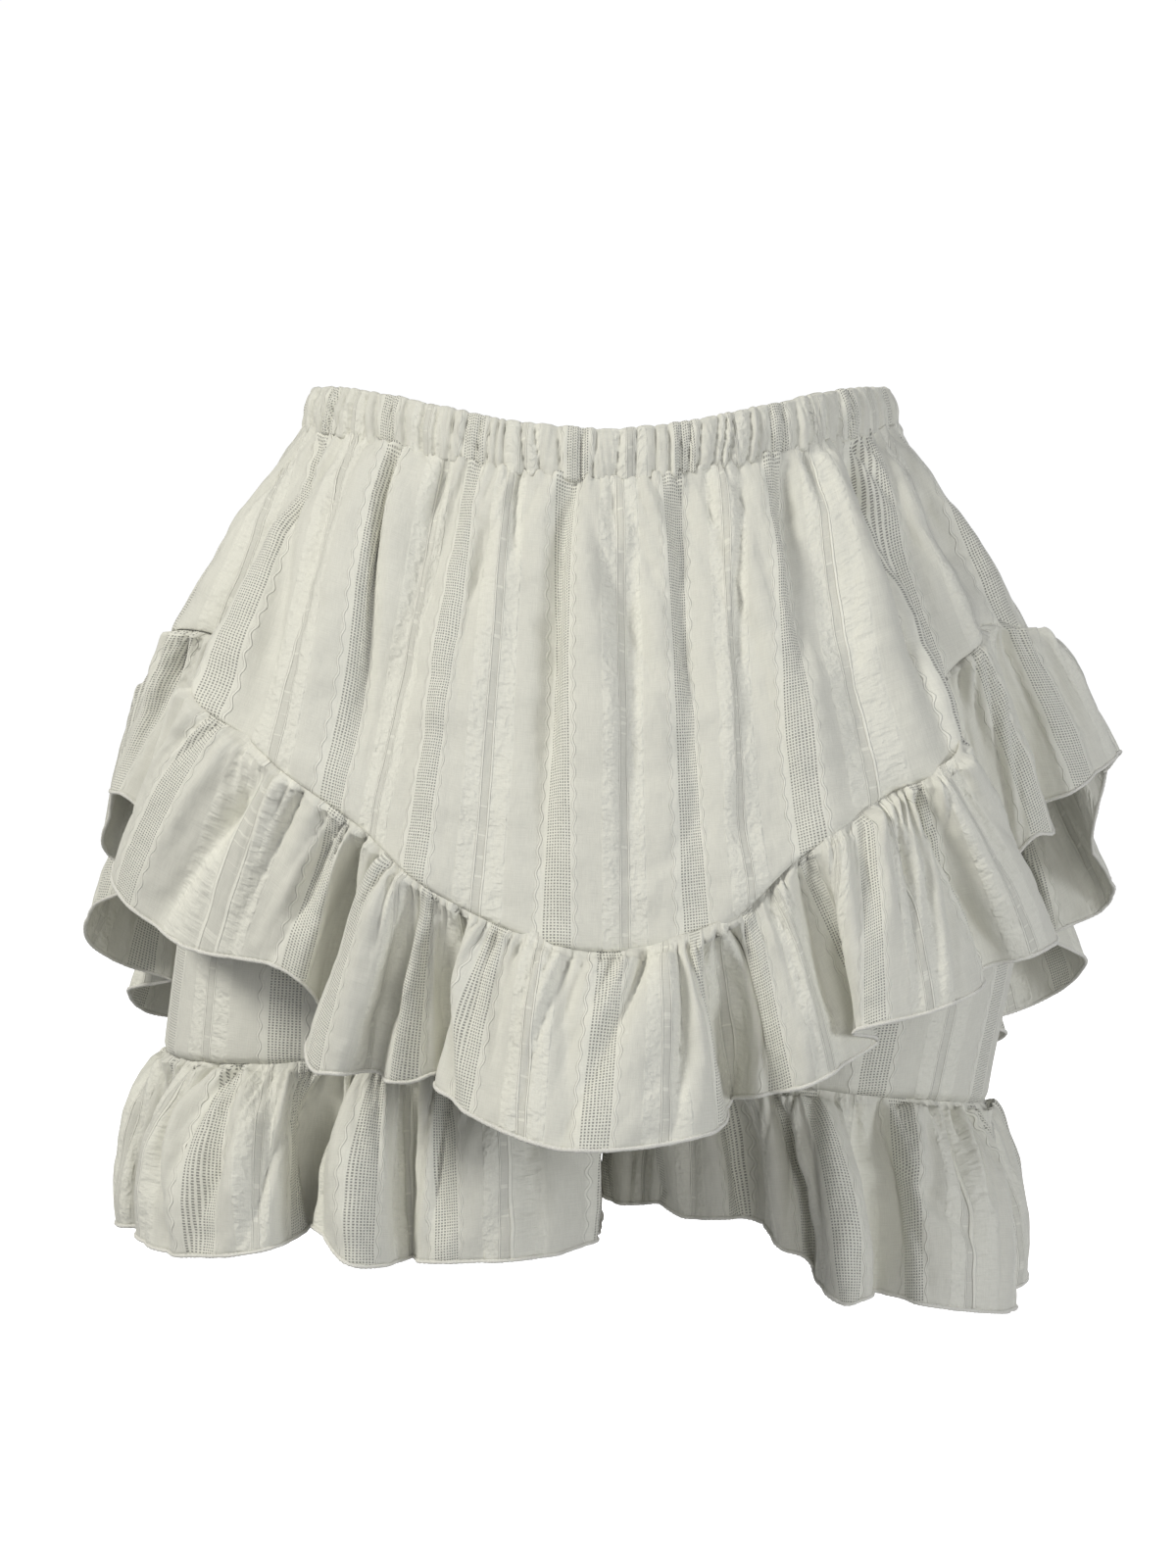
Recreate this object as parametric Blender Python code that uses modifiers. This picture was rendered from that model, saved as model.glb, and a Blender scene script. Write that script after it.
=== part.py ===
"""A cotton skort: shorts with a ruffle round each leg under a full overskirt.

The overskirt's panels end in a V at the front and the back, with a ruffle on
the V. Everything hangs from one elastic casing. Units are metres, +Z is up, the
front faces -Y, and the origin is the middle of the waist opening. Left and
right are the wearer's, so left is at +X. Angles go round the body in degrees:
0 is the centre front, 90 the side at +X, 180 the centre back. A drop is a
height below the origin. The fold tables are in degrees and millimetres.
"""

import math

import bmesh
import bpy
import numpy as np

# Driving sizes
CLOTH = 0.0012
CASING_WALL = 0.0040
SEAM_GAP = 0.0003
RUFFLE_GAP = 0.0010  # below a V seam or a leg seam, whose facets differ
SIDE_GAP = 0.0008  # at the side seams, where two walls meet at a slight angle
MM = 0.001

WAIST_HALF_WIDTH = 0.1335
WAIST_HALF_DEPTH = 0.1045
CASING_HEIGHT = 0.022
CASING_SQUEEZE = 0.004  # the casing is this much lower at the sides
SQUEEZE_POWER = 8  # how near the sides that stays
WAIST_SIDE_RISE = 0.007  # height of the casing's top at the sides
WAIST_FRONT_DIP = 0.0205  # from there down to the centre front
WAIST_BACK_DIP = 0.015
DIP_POWER = 4  # how narrow the dips are
CASING_LEAN = ((0.0, 0.0), (0.3, 0.0), (0.65, -1.0 * MM), (1.0, -4.0 * MM))  # share of height, out
SHORTS_INSET = 0.0021  # from the overskirt's outside in to the shorts', at the waist
SIDE_SEAM = 80.0
FULL_TURN = 360.0

# The overskirt's rings, by drop below the casing
FLARE_COLUMNS = ("drop", "half_width", "front_depth", "back_depth")
FLARE = (
    (0.012, WAIST_HALF_WIDTH, WAIST_HALF_DEPTH, WAIST_HALF_DEPTH),
    (0.030, 0.1485, 0.112, 0.115),
    (0.060, 0.1695, 0.124, 0.132),
    (0.100, 0.1945, 0.139, 0.151),
    (0.150, 0.2220, 0.153, 0.168),
    (0.200, 0.2450, 0.163, 0.180),
    (0.260, 0.2680, 0.171, 0.188),
    (0.360, 0.2900, 0.179, 0.196),
)

# The V seams, where the panels end: angle, drop
SEAM_FRONT = (
    (-90, 0.106), (-80, 0.101), (-68, 0.102), (-55, 0.126), (-40, 0.150), (-29, 0.172),
    (-18, 0.200), (-9, 0.219), (2, 0.228), (11, 0.219), (21, 0.188), (31, 0.168),
    (41, 0.152), (50, 0.122), (60, 0.102), (80, 0.101), (90, 0.106),
)
SEAM_BACK = (
    (70, 0.101), (80, 0.101), (90, 0.110), (105, 0.136), (120, 0.168), (135, 0.198),
    (150, 0.219), (165, 0.233), (180, 0.238), (195, 0.232), (210, 0.216), (225, 0.195),
    (240, 0.168), (255, 0.136), (270, 0.109), (280, 0.101), (290, 0.101),
)

# Flutes of the panels: angle, how far out near the waist, how far out at the V seam (mm)
FLUTES_FRONT = (
    (-80, 0, 0), (-74, 2, 1), (-65, -4, -15), (-56, 2, 5), (-44, 0, 0), (-35, 2, 1),
    (-25, -7, -5), (-18, 3, 2), (-11, -3, -1), (-4, 2, 3), (4, -2, -1), (10, 2, 2),
    (17, -4, -3), (24, 3, 2), (32, -4, -3), (42, 3, 7), (50, -5, -15), (58, 1, -3),
    (66, -3, -8), (74, 2, 1), (80, 0, 0),
)
FLUTES_BACK = (
    (80, 0, 0), (90, -3, -8), (100, 3, 5), (112, -3, -9), (124, 2, 3), (135, -4, -5),
    (146, 3, 3), (157, -3, -3), (168, 2, 3), (178, -3, -2), (188, 3, 3), (199, -4, -4),
    (210, 2, 2), (222, -3, -5), (236, 3, 4), (248, -4, -9), (260, 2, 5), (270, -3, -8),
    (280, 0, 0),
)

# Folds of the ruffles, a row each: the angle of its crest on the seam, the angles where it
# starts and stops at the hem, how far out the hem stands there (mm from the ring), how much
# the crest bows out and the valley after it tucks in (mm), how far that valley leans
# (degrees), and the hem's drop where the fold starts, at its crest and where it stops (mm)
FOLD_COLUMNS = (
    "crest", "start", "stop", "out_start", "out_stop", "bow", "tuck", "lean",
    "drop_start", "drop_crest", "drop_stop",
)
FOLDS_FRONT = (
    (-74, -87, -79, -13, -16, 2, 16, 0, 172, 174, 174),
    (-42, -65, -33, -12, -28, 0, 16, -1, 205, 233, 245),
    (-20, -29, -25, -20, -11, 2, 14, 0, 275, 281, 281),
    (-15, -20, -16, -18, -25, 0, 10, 0, 285, 285, 282),
    (0, -15, 9, -12, 12, 27, 28, 2, 284, 303, 299),
    (18, 14, 23, -12, -10, 9, 4, 4, 289, 283, 275),
    (31, 22, 38, 3, -4, 8, 9, 0, 262, 254, 246),
    (42, 45, 55, -9, -18, 4, 22, 2, 238, 234, 232),
    (58, 62, 69, -24, -25, 3, 9, 4, 189, 189, 184),
    (75, 75, 89, -17, 10, 2, 20, 2, 173, 163, 157),
)
FOLDS_BACK = (
    (111, 102, 112, -12, 0, 5, 22, 0, 206, 224, 236),
    (127, 118, 130, -4, 4, 8, 22, 1, 262, 276, 290),
    (141, 134, 142, 4, 0, 6, 20, 0, 306, 314, 320),
    (155, 147, 158, -6, -4, 9, 18, -1, 318, 326, 328),
    (168, 162, 173, -4, -8, 10, 20, 2, 330, 335, 332),
    (184, 177, 192, -4, 0, 14, 24, 0, 334, 342, 336),
    (199, 197, 208, -8, -4, 8, 18, 2, 328, 328, 322),
    (213, 212, 223, -6, -2, 10, 22, 0, 316, 314, 306),
    (228, 227, 239, -4, -6, 8, 20, -1, 298, 292, 278),
    (244, 243, 255, -12, -12, 7, 18, 0, 264, 252, 232),
    (259, 259, 264, -14, -13, 2, 6, 0, 206, 198, 188),
)

# The hem at the side seams, by the seam's angle: angle, how far out and drop (mm)
SIDE_SEAM_HEMS = {
    -SIDE_SEAM: (-92, -10, 173),
    SIDE_SEAM: (94, 3, 166),
    FULL_TURN - SIDE_SEAM: (268, -10, 173),
}

# The shorts' rings, by level below the casing: the outer side's distance from the middle,
# the leg's middle, and the depths in front and behind
SHORTS_COLUMNS = ("drop", "outer", "middle", "front_depth", "back_depth")
SHORTS = (
    (0.012, WAIST_HALF_WIDTH - SHORTS_INSET, 0.000, WAIST_HALF_DEPTH - SHORTS_INSET,
     WAIST_HALF_DEPTH - SHORTS_INSET),
    (0.045, 0.1450, 0.004, 0.106, 0.109),
    (0.090, 0.1610, 0.018, 0.110, 0.122),
    (0.135, 0.1730, 0.042, 0.110, 0.128),
    (0.180, 0.1830, 0.070, 0.104, 0.124),
    (0.225, 0.1905, 0.096, 0.095, 0.110),
)
SHORTS_LEVELS = (0.012, 0.040, 0.080, 0.130, 0.180, 0.225, 0.262, 1.0)  # 1.0 is the leg seam
CROTCH_DROP = 0.225

# Each leg at its seam: outer side and middle as above, depths, and the seam's drop at the
# outer side, the front and the inner side
LEG_COLUMNS = (
    "outer", "middle", "front_depth", "back_depth", "drop_outer", "drop_front", "drop_inner",
)
LEGS = {
    "right": (0.2000, 0.1005, 0.085, 0.094, 0.2935, 0.287, 0.284),
    "left": (0.1765, 0.0945, 0.085, 0.094, 0.3180, 0.299, 0.291),
}

# Folds of the leg ruffles, round each leg's own middle: 0 front, +90 the side nearer +X
FOLDS_LEG_RIGHT = (
    (-42, -69, -21, 13, 22, 6, 26, -1, 369, 372, 365),
    (-5, -12, 8, 6, 13, 12, 9, 1, 358, 370, 371),
    (34, 11, 60, 15, 13, 17, 8, 0, 370, 369, 370),
    (90, 74, 112, 2, 3, -1, 10, 0, 374, 374, 372),
    (133, 120, 150, 8, 14, 9, 18, 0, 368, 371, 370),
    (176, 158, 196, 12, 16, 12, 20, 2, 371, 374, 368),
    (218, 204, 233, 10, 14, 9, 18, -2, 366, 371, 370),
    (262, 241, 282, 12, 18, 6, 12, 0, 372, 373, 371),
)
FOLDS_LEG_LEFT = (
    (-48, -62, -32, 3, 7, 3, 10, 0, 357, 360, 358),
    (-10, -15, -1, 0, 14, 9, 4, 0, 361, 367, 370),
    (6, 3, 11, 30, 35, 4, 13, 0, 380, 384, 382),
    (38, 18, 62, 27, 20, 12, 6, 0, 385, 394, 399),
    (90, 76, 102, 17, 17, 2, 12, 0, 397, 396, 393),
    (130, 113, 146, 12, 14, 9, 18, 0, 388, 388, 383),
    (175, 157, 192, 12, 16, 12, 20, 2, 379, 380, 372),
    (220, 202, 238, 10, 12, 9, 16, 0, 368, 370, 366),
    (263, 247, 283, 3, 2, -1, 9, 0, 365, 367, 364),
)

PANEL_ROWS = (0.0, 0.15, 0.35, 0.6, 0.8, 1.0)
WAIST_FLUTE_REACH = 0.9  # share of a panel's height that its flutes from the waist fill
PANEL_EASE = 1.5  # how the seam's flutes grow, and the waist's dip fades, down a panel
SHORTS_EASE = 2  # the same for the shorts' waist and for the slope of their leg seams
RUFFLE_ROWS = (0.0, 0.4, 1.0)
SEAM_ALLOWANCE = 0.003  # how far a ruffle runs on in line with the panel above it
OVERSKIRT_SPREAD = 1.1  # how soon a ruffle turns outwards below its seam, 1 is evenly
LEG_SPREAD = 2.2
PANEL_STEP = 4.0  # degrees
CASING_STEPS = 48
LEG_STEPS = 11
LOOP_OVERLAP = 3

CLOTH_COLOUR = (0.83, 0.82, 0.77, 1.0)
CLOTH_ROUGHNESS = 0.9


def smooth(table, column, where):
    """One column of a table, read between its rows along a smooth curve."""
    rows = np.array(table, float)
    known, values = rows[:, 0], rows[:, column]
    slopes = np.gradient(values, known)
    where = np.clip(where, known[0], known[-1])
    i = np.clip(np.searchsorted(known, where) - 1, 0, len(known) - 2)
    span = known[i + 1] - known[i]
    t = (where - known[i]) / span
    return (
        values[i] * (1 + 2 * t) * (1 - t) ** 2
        + slopes[i] * span * t * (1 - t) ** 2
        + values[i + 1] * t * t * (3 - 2 * t)
        + slopes[i + 1] * span * t * t * (t - 1)
    )


def on_ring(angle, half_width, half_depth, height, middle=0.0):
    turn = math.radians(angle)
    return np.array((middle + half_width * math.sin(turn), -half_depth * math.cos(turn), height))


def is_back(angle):
    return math.cos(math.radians(angle)) < 0


# The casing and where it ends


def casing_top(angle):
    turn = math.radians(angle)
    dip = WAIST_BACK_DIP if is_back(angle) else WAIST_FRONT_DIP
    return WAIST_SIDE_RISE - dip * math.cos(turn) ** DIP_POWER


def casing_bottom(angle):
    squeeze = CASING_SQUEEZE * math.sin(math.radians(angle)) ** SQUEEZE_POWER
    return casing_top(angle) - CASING_HEIGHT + squeeze


def casing_point(angle, share):
    height = casing_bottom(angle) + share * (casing_top(angle) - casing_bottom(angle))
    out = smooth(CASING_LEAN, 1, share) + SEAM_GAP
    return on_ring(angle, WAIST_HALF_WIDTH + out, WAIST_HALF_DEPTH + out, height)


# The overskirt


def overskirt_ring(angle, drop, out):
    """A point on the overskirt's ring at this drop, moved out by so much."""
    depth_column = FLARE_COLUMNS.index("back_depth" if is_back(angle) else "front_depth")
    half_width = smooth(FLARE, FLARE_COLUMNS.index("half_width"), drop) + out
    return on_ring(angle, half_width, smooth(FLARE, depth_column, drop) + out, -drop)


def panel_point(angle, share):
    """A point on a panel: share 0 is at the casing and 1 at the V seam."""
    back = is_back(angle) or abs(angle - 180) < 180 - SIDE_SEAM
    top = SEAM_GAP - casing_bottom(angle)
    drop = top + share * (smooth(SEAM_BACK if back else SEAM_FRONT, 1, angle) - top)
    flutes = FLUTES_BACK if back else FLUTES_FRONT
    bulge = math.sin(math.pi * min(1.0, share / WAIST_FLUTE_REACH))
    near_waist = bulge * smooth(flutes, 1, angle) * MM
    at_seam = share**PANEL_EASE * smooth(flutes, 2, angle) * MM
    # The table starts at the casing's bottom, which lies lower at the front than at the sides
    lag = (top - FLARE[0][0]) * (1 - share) ** PANEL_EASE
    point = overskirt_ring(angle, drop - lag, near_waist + at_seam)
    point[2] = -drop
    return point


def panel_angles(start, stop):
    gap = math.degrees(SIDE_GAP / 2 / WAIST_HALF_DEPTH)
    return np.linspace(start + gap, stop - gap, round((stop - start) / PANEL_STEP) + 1)


def panel(name, start, stop):
    angles = panel_angles(start, stop)
    return cloth(name, [[panel_point(a, share) for a in angles] for share in PANEL_ROWS])


# Ruffles


def fold_points(folds, ring, closed):
    """(crest angle or None, hem point) along the hem, four for each fold."""
    column = {name: i for i, name in enumerate(FOLD_COLUMNS)}
    points = []
    for i, fold in enumerate(folds):
        start, stop = fold[column["start"]], fold[column["stop"]]
        out_start, out_stop = fold[column["out_start"]], fold[column["out_stop"]]
        drop_start, drop_stop = fold[column["drop_start"]], fold[column["drop_stop"]]
        out_crest = (out_start + out_stop) / 2 + fold[column["bow"]]
        crest = ring((start + stop) / 2, fold[column["drop_crest"]] * MM, out_crest * MM)
        points.append((None, ring(start, drop_start * MM, out_start * MM)))
        points.append((fold[column["crest"]], crest))
        points.append((None, ring(stop, drop_stop * MM, out_stop * MM)))
        if i + 1 == len(folds) and not closed:
            break
        after = folds[(i + 1) % len(folds)]
        turn = FULL_TURN if i + 1 == len(folds) else 0.0
        valley = (stop + after[column["start"]] + turn) / 2 + fold[column["lean"]]
        out = min(out_stop, after[column["out_start"]]) - fold[column["tuck"]]
        drop = (drop_stop + after[column["drop_start"]]) / 2
        points.append((None, ring(valley, drop * MM, out * MM)))
    return points


def hem_line(folds, ring, ends=None):
    """The hem as rows of (way along it, x, y, z), where the seam is held as (way, angle), and
    the ways of the first and last point. Without ends it is a loop, and runs on a little
    before its start and after its stop, so that it closes smoothly."""
    points = fold_points(folds, ring, closed=ends is None)
    if ends:
        points = [ends[0], *points, ends[1]]
        first, last = 0, len(points) - 1
    else:
        first, last = LOOP_OVERLAP, LOOP_OVERLAP + len(points)
        before = [(c and c - FULL_TURN, p) for c, p in points[-LOOP_OVERLAP:]]
        after = [(c and c + FULL_TURN, p) for c, p in points[:LOOP_OVERLAP]]
        points = before + points + after
    hem = np.array([p for _, p in points])
    way = np.concatenate([[0], np.cumsum(np.linalg.norm(np.diff(hem, axis=0), axis=1))])
    held = [(w, crest) for w, (crest, _) in zip(way, points) if crest is not None]
    return np.column_stack([way, hem]), np.array(held), way[first : last + 1]


def ruffle(name, folds, ring, seam_point, spread, ends=None):
    """A wall from a seam down to its folded hem. The cloth is gathered evenly between the
    crests, so a point's place on the seam follows its way along the hem."""
    hem, held, ways = hem_line(folds, ring, ends)
    ways = np.sort(np.concatenate([ways, (ways[1:] + ways[:-1]) / 2]))
    if not ends:
        ways = ways[:-1]
    tops = [seam_point(np.interp(way, held[:, 0], held[:, 1])) for way in ways]
    bottoms = [np.array([smooth(hem, axis, way) for axis in (1, 2, 3)]) for way in ways]
    rows = [[edge + fall * RUFFLE_GAP for edge, fall in tops]]
    for share in RUFFLE_ROWS:
        outwards = 1 - (1 - share) ** spread
        weights = np.array((outwards, outwards, share))
        below = [edge + fall * SEAM_ALLOWANCE for edge, fall in tops]
        rows.append([top + (bottom - top) * weights for top, bottom in zip(below, bottoms)])
    return cloth(name, rows, loop=not ends)


def follow_edge(angles, edge, above):
    """A function of the angle that gives the point of a faceted edge there, and which way
    the cloth above it runs down."""
    fall = edge - above
    fall /= np.linalg.norm(fall, axis=1)[:, None]

    def edge_and_fall(angle):
        read = [np.interp(angle, angles, column, period=FULL_TURN) for column in edge.T]
        runs = [np.interp(angle, angles, column, period=FULL_TURN) for column in fall.T]
        return np.array(read), np.array(runs)

    return edge_and_fall


def below_panel(start, stop):
    angles = panel_angles(start, stop)
    edge, above = (
        np.array([panel_point(angle, share) for angle in angles])
        for share in (PANEL_ROWS[-1], PANEL_ROWS[-2])
    )
    return follow_edge(angles, edge, above)


def overskirt_ruffle(name, folds, start, stop):
    gap = math.degrees(SIDE_GAP / 2 / WAIST_HALF_DEPTH)
    ends = []
    for angle, inwards in ((start, gap), (stop, -gap)):
        hem_angle, out, drop = SIDE_SEAM_HEMS[angle]
        point = overskirt_ring(hem_angle + inwards, drop * MM, out * MM)
        ends.append((angle + inwards, point))
    return ruffle(name, folds, overskirt_ring, below_panel(start, stop), OVERSKIRT_SPREAD, ends)


# The shorts


def leg_sizes(side):
    return dict(zip(LEG_COLUMNS, LEGS[side]))


def leg_seam_drop(side, angle):
    """Angle from the leg's outer side: -90 outer, 0 front or back, 90 inner."""
    leg = leg_sizes(side)
    table = (
        (-90, leg["drop_outer"]), (0, leg["drop_front"]), (90, leg["drop_inner"]),
    )
    return smooth(table, 1, angle)


def shorts_point(side, back, level, share):
    """share 0 is at the side seam, and 1 at the centre seam or the inseam."""
    leg = leg_sizes(side)
    nominal = (leg["drop_outer"] + leg["drop_inner"]) / 2
    drop = min(level, nominal)
    depth_name = "back_depth" if back else "front_depth"
    at_leg = (nominal, leg["outer"], leg["middle"], leg["front_depth"], leg["back_depth"])
    table = (*SHORTS, at_leg)
    outer = smooth(table, SHORTS_COLUMNS.index("outer"), drop)
    middle = smooth(table, SHORTS_COLUMNS.index("middle"), drop)
    depth = smooth(table, SHORTS_COLUMNS.index(depth_name), drop)
    half_width = outer - middle
    reach = math.degrees(math.asin(min(1.0, (middle - SEAM_GAP / 2) / half_width)))
    gap = math.degrees(SIDE_GAP / 2 / depth)
    inner = min(reach, 90 - gap)
    angle = -90 + gap + share * (inner + 90 - gap)
    flat = on_ring(angle, half_width, depth, 0.0)
    x = flat[0] - middle
    y = -flat[1] if back else flat[1]
    fade = max(0.0, 1 - (drop - SHORTS[0][0]) / (CROTCH_DROP - SHORTS[0][0]))
    body_angle = math.degrees(math.atan2(x / WAIST_HALF_WIDTH, -y / WAIST_HALF_DEPTH))
    top_shift = SEAM_GAP - casing_bottom(body_angle) - SHORTS[0][0]
    low = max(0.0, (drop - CROTCH_DROP) / (nominal - CROTCH_DROP))
    bottom_shift = leg_seam_drop(side, angle) - nominal
    z = -(drop + top_shift * fade**SHORTS_EASE + bottom_shift * low**SHORTS_EASE)
    return np.array((x if side == "right" else -x, y, z))


def shorts_piece(side, back):
    rows = []
    for level in SHORTS_LEVELS:
        rows.append([shorts_point(side, back, level, i / LEG_STEPS) for i in range(LEG_STEPS + 1)])
    if (side == "right") == back:
        rows = [row[::-1] for row in rows]
    return cloth(f"shorts_{'back' if back else 'front'}_{side}", rows)


def leg_ring(side):
    """The ring function of one leg, as overskirt_ring is for the overskirt."""
    leg = leg_sizes(side)
    sign = -1 if side == "right" else 1

    def ring(angle, drop, out):
        depth = leg["back_depth"] if is_back(angle) else leg["front_depth"]
        half_width = leg["outer"] - leg["middle"]
        return on_ring(angle, half_width + out, depth + out, -drop, sign * leg["middle"])

    return ring


def below_leg(side):
    leg = leg_sizes(side)
    half_width = leg["outer"] - leg["middle"]
    middle = -leg["middle"] if side == "right" else leg["middle"]
    angles, edge, above = [], [], []
    for back in (False, True):
        depth = leg["back_depth"] if back else leg["front_depth"]
        for i in range(LEG_STEPS + 1):
            lowest, higher = (
                shorts_point(side, back, level, i / LEG_STEPS) for level in SHORTS_LEVELS[:-3:-1]
            )
            across, ahead = (lowest[0] - middle) / half_width, -lowest[1] / depth
            angles.append(math.degrees(math.atan2(across, ahead)))
            edge.append(lowest)
            above.append(higher)
    return follow_edge(angles, np.array(edge), np.array(above))


def leg_ruffle(side, folds):
    return ruffle(f"leg_ruffle_{side}", folds, leg_ring(side), below_leg(side), LEG_SPREAD)


def waist_casing():
    shares = [share for share, _ in reversed(CASING_LEAN)]
    angles = [FULL_TURN * i / CASING_STEPS for i in range(CASING_STEPS)]
    rows = [[casing_point(angle, share) for angle in angles] for share in shares]
    return cloth("waistband", rows, loop=True, wall=CASING_WALL)


# Making the objects


def fresh_scene():
    for obj in list(bpy.data.objects):
        bpy.data.objects.remove(obj, do_unlink=True)
    collection = bpy.data.collections.new("skort")
    bpy.context.scene.collection.children.link(collection)


def cotton(name):
    material = bpy.data.materials.new(name)
    material.use_nodes = True
    shader = material.node_tree.nodes["Principled BSDF"]
    shader.inputs["Base Color"].default_value = CLOTH_COLOUR
    shader.inputs["Roughness"].default_value = CLOTH_ROUGHNESS
    shader.inputs["Metallic"].default_value = 0.0
    return material


def cloth(name, rows, loop=False, wall=CLOTH):
    """A named wall of this thickness, grown inwards from rows of points. Rows run downwards."""
    sheet = bmesh.new()
    lines = [[sheet.verts.new(point) for point in row] for row in rows]
    for upper, lower in zip(lines, lines[1:]):
        quads = list(zip(upper, upper[1:] + upper[:1], lower[1:] + lower[:1], lower))
        for a, b, c, d in quads if loop else quads[:-1]:
            sheet.faces.new((a, d, c, b))
    mesh = bpy.data.meshes.new(name)
    sheet.to_mesh(mesh)
    sheet.free()
    mesh.shade_smooth()
    obj = bpy.data.objects.new(name, mesh)
    obj.data.materials.append(cotton(name))
    bpy.data.collections["skort"].objects.link(obj)
    thickness = obj.modifiers.new("wall", "SOLIDIFY")
    thickness.thickness = wall
    thickness.offset = -1.0
    return obj


def main():
    fresh_scene()
    waist_casing()
    panel("overskirt_front", -SIDE_SEAM, SIDE_SEAM)
    panel("overskirt_back", SIDE_SEAM, FULL_TURN - SIDE_SEAM)
    overskirt_ruffle("ruffle_front", FOLDS_FRONT, -SIDE_SEAM, SIDE_SEAM)
    overskirt_ruffle("ruffle_back", FOLDS_BACK, SIDE_SEAM, FULL_TURN - SIDE_SEAM)
    for side in LEGS:
        shorts_piece(side, back=False)
        shorts_piece(side, back=True)
    leg_ruffle("right", FOLDS_LEG_RIGHT)
    leg_ruffle("left", FOLDS_LEG_LEFT)


main()
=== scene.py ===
# %% [markdown]
# # A ruffled cotton skort
#
# The garment is a pair of shorts under a full overskirt. Both hang from one
# casing with an elastic in it, and every lower edge carries a gathered ruffle.
# The cloth is a thin off-white cotton with openwork stripes woven into it. Each
# piece below is one sheet of that cloth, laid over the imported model's walls.

# %% The frame
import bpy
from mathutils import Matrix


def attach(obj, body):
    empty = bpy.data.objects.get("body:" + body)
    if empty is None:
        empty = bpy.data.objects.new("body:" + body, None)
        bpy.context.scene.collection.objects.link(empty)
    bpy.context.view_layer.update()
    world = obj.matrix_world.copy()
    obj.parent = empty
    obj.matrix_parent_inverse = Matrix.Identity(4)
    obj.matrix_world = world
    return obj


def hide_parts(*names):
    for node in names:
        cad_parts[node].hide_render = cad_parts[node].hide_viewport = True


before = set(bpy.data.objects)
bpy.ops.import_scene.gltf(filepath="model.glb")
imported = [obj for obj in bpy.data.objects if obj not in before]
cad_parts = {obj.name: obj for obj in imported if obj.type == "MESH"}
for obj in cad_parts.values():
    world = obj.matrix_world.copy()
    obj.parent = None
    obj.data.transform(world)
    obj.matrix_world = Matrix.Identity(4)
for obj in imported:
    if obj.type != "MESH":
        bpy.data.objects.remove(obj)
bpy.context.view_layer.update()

# %% Modules and units
import math

import bmesh
import bpy
import numpy as np
from mathutils import Vector

MM = 0.001
FULL_TURN = 360.0  # degrees

# %% [markdown]
# ## The garment's sizes
#
# Places in x, y and z would be hard to read and to change. Cloth that hangs on a
# body is easiest to describe in the body's own terms. An angle says how far round
# it a point lies: 0 is the centre front, 90 the wearer's left side at +X, 180 the
# centre back. A drop says how far it lies below the waist. Short tables give the
# garment's girth, seams and folds in those terms, and one smooth reading of a
# table gives every point between.

# %% Sizes of the waist and the seams
WAIST_HALF_WIDTH = 0.1335
WAIST_HALF_DEPTH = 0.1045
CASING_HEIGHT = 0.022
CASING_SQUEEZE, SQUEEZE_POWER = 0.004, 8
WAIST_SIDE_RISE = 0.007
WAIST_FRONT_DIP, WAIST_BACK_DIP, DIP_POWER = 0.0205, 0.015, 4
SHORTS_INSET = 0.0021
SEAM_GAP = 0.0003
SIDE_SEAM = 80.0
print("waist", 2 * WAIST_HALF_WIDTH, "by", 2 * WAIST_HALF_DEPTH, "m across")

# %% The overskirt's rings and V seams
# drop, half width, depth in front, depth behind (metres)
FLARE = (
    (0.012, WAIST_HALF_WIDTH, WAIST_HALF_DEPTH, WAIST_HALF_DEPTH),
    (0.030, 0.1485, 0.112, 0.115),
    (0.060, 0.1695, 0.124, 0.132),
    (0.100, 0.1945, 0.139, 0.151),
    (0.150, 0.2220, 0.153, 0.168),
    (0.200, 0.2450, 0.163, 0.180),
    (0.260, 0.2680, 0.171, 0.188),
    (0.360, 0.2900, 0.179, 0.196),
)
# The V seams: angle, drop (metres)
SEAM_FRONT = (
    (-90, 0.106), (-80, 0.101), (-68, 0.102), (-55, 0.126), (-40, 0.150), (-29, 0.172),
    (-18, 0.200), (-9, 0.219), (2, 0.228), (11, 0.219), (21, 0.188), (31, 0.168),
    (41, 0.152), (50, 0.122), (60, 0.102), (80, 0.101), (90, 0.106),
)
SEAM_BACK = (
    (70, 0.101), (80, 0.101), (90, 0.110), (105, 0.136), (120, 0.168), (135, 0.198),
    (150, 0.219), (165, 0.233), (180, 0.238), (195, 0.232), (210, 0.216), (225, 0.195),
    (240, 0.168), (255, 0.136), (270, 0.109), (280, 0.101), (290, 0.101),
)
print("the V seams reach", max(drop for _, drop in SEAM_FRONT + SEAM_BACK), "m down")

# %% The panels' broad flutes
# Angle, out near the waist, out at the V seam (mm)
FLUTES_FRONT = (
    (-80, 0, 0), (-74, 2, 1), (-65, -4, -15), (-56, 2, 5), (-44, 0, 0), (-35, 2, 1),
    (-25, -7, -5), (-18, 3, 2), (-11, -3, -1), (-4, 2, 3), (4, -2, -1), (10, 2, 2),
    (17, -4, -3), (24, 3, 2), (32, -4, -3), (42, 3, 7), (50, -5, -15), (58, 1, -3),
    (66, -3, -8), (74, 2, 1), (80, 0, 0),
)
FLUTES_BACK = (
    (80, 0, 0), (90, -3, -8), (100, 3, 5), (112, -3, -9), (124, 2, 3), (135, -4, -5),
    (146, 3, 3), (157, -3, -3), (168, 2, 3), (178, -3, -2), (188, 3, 3), (199, -4, -4),
    (210, 2, 2), (222, -3, -5), (236, 3, 4), (248, -4, -9), (260, 2, 5), (270, -3, -8),
    (280, 0, 0),
)
print("flutes set at", len(FLUTES_FRONT) + len(FLUTES_BACK), "places")

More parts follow.
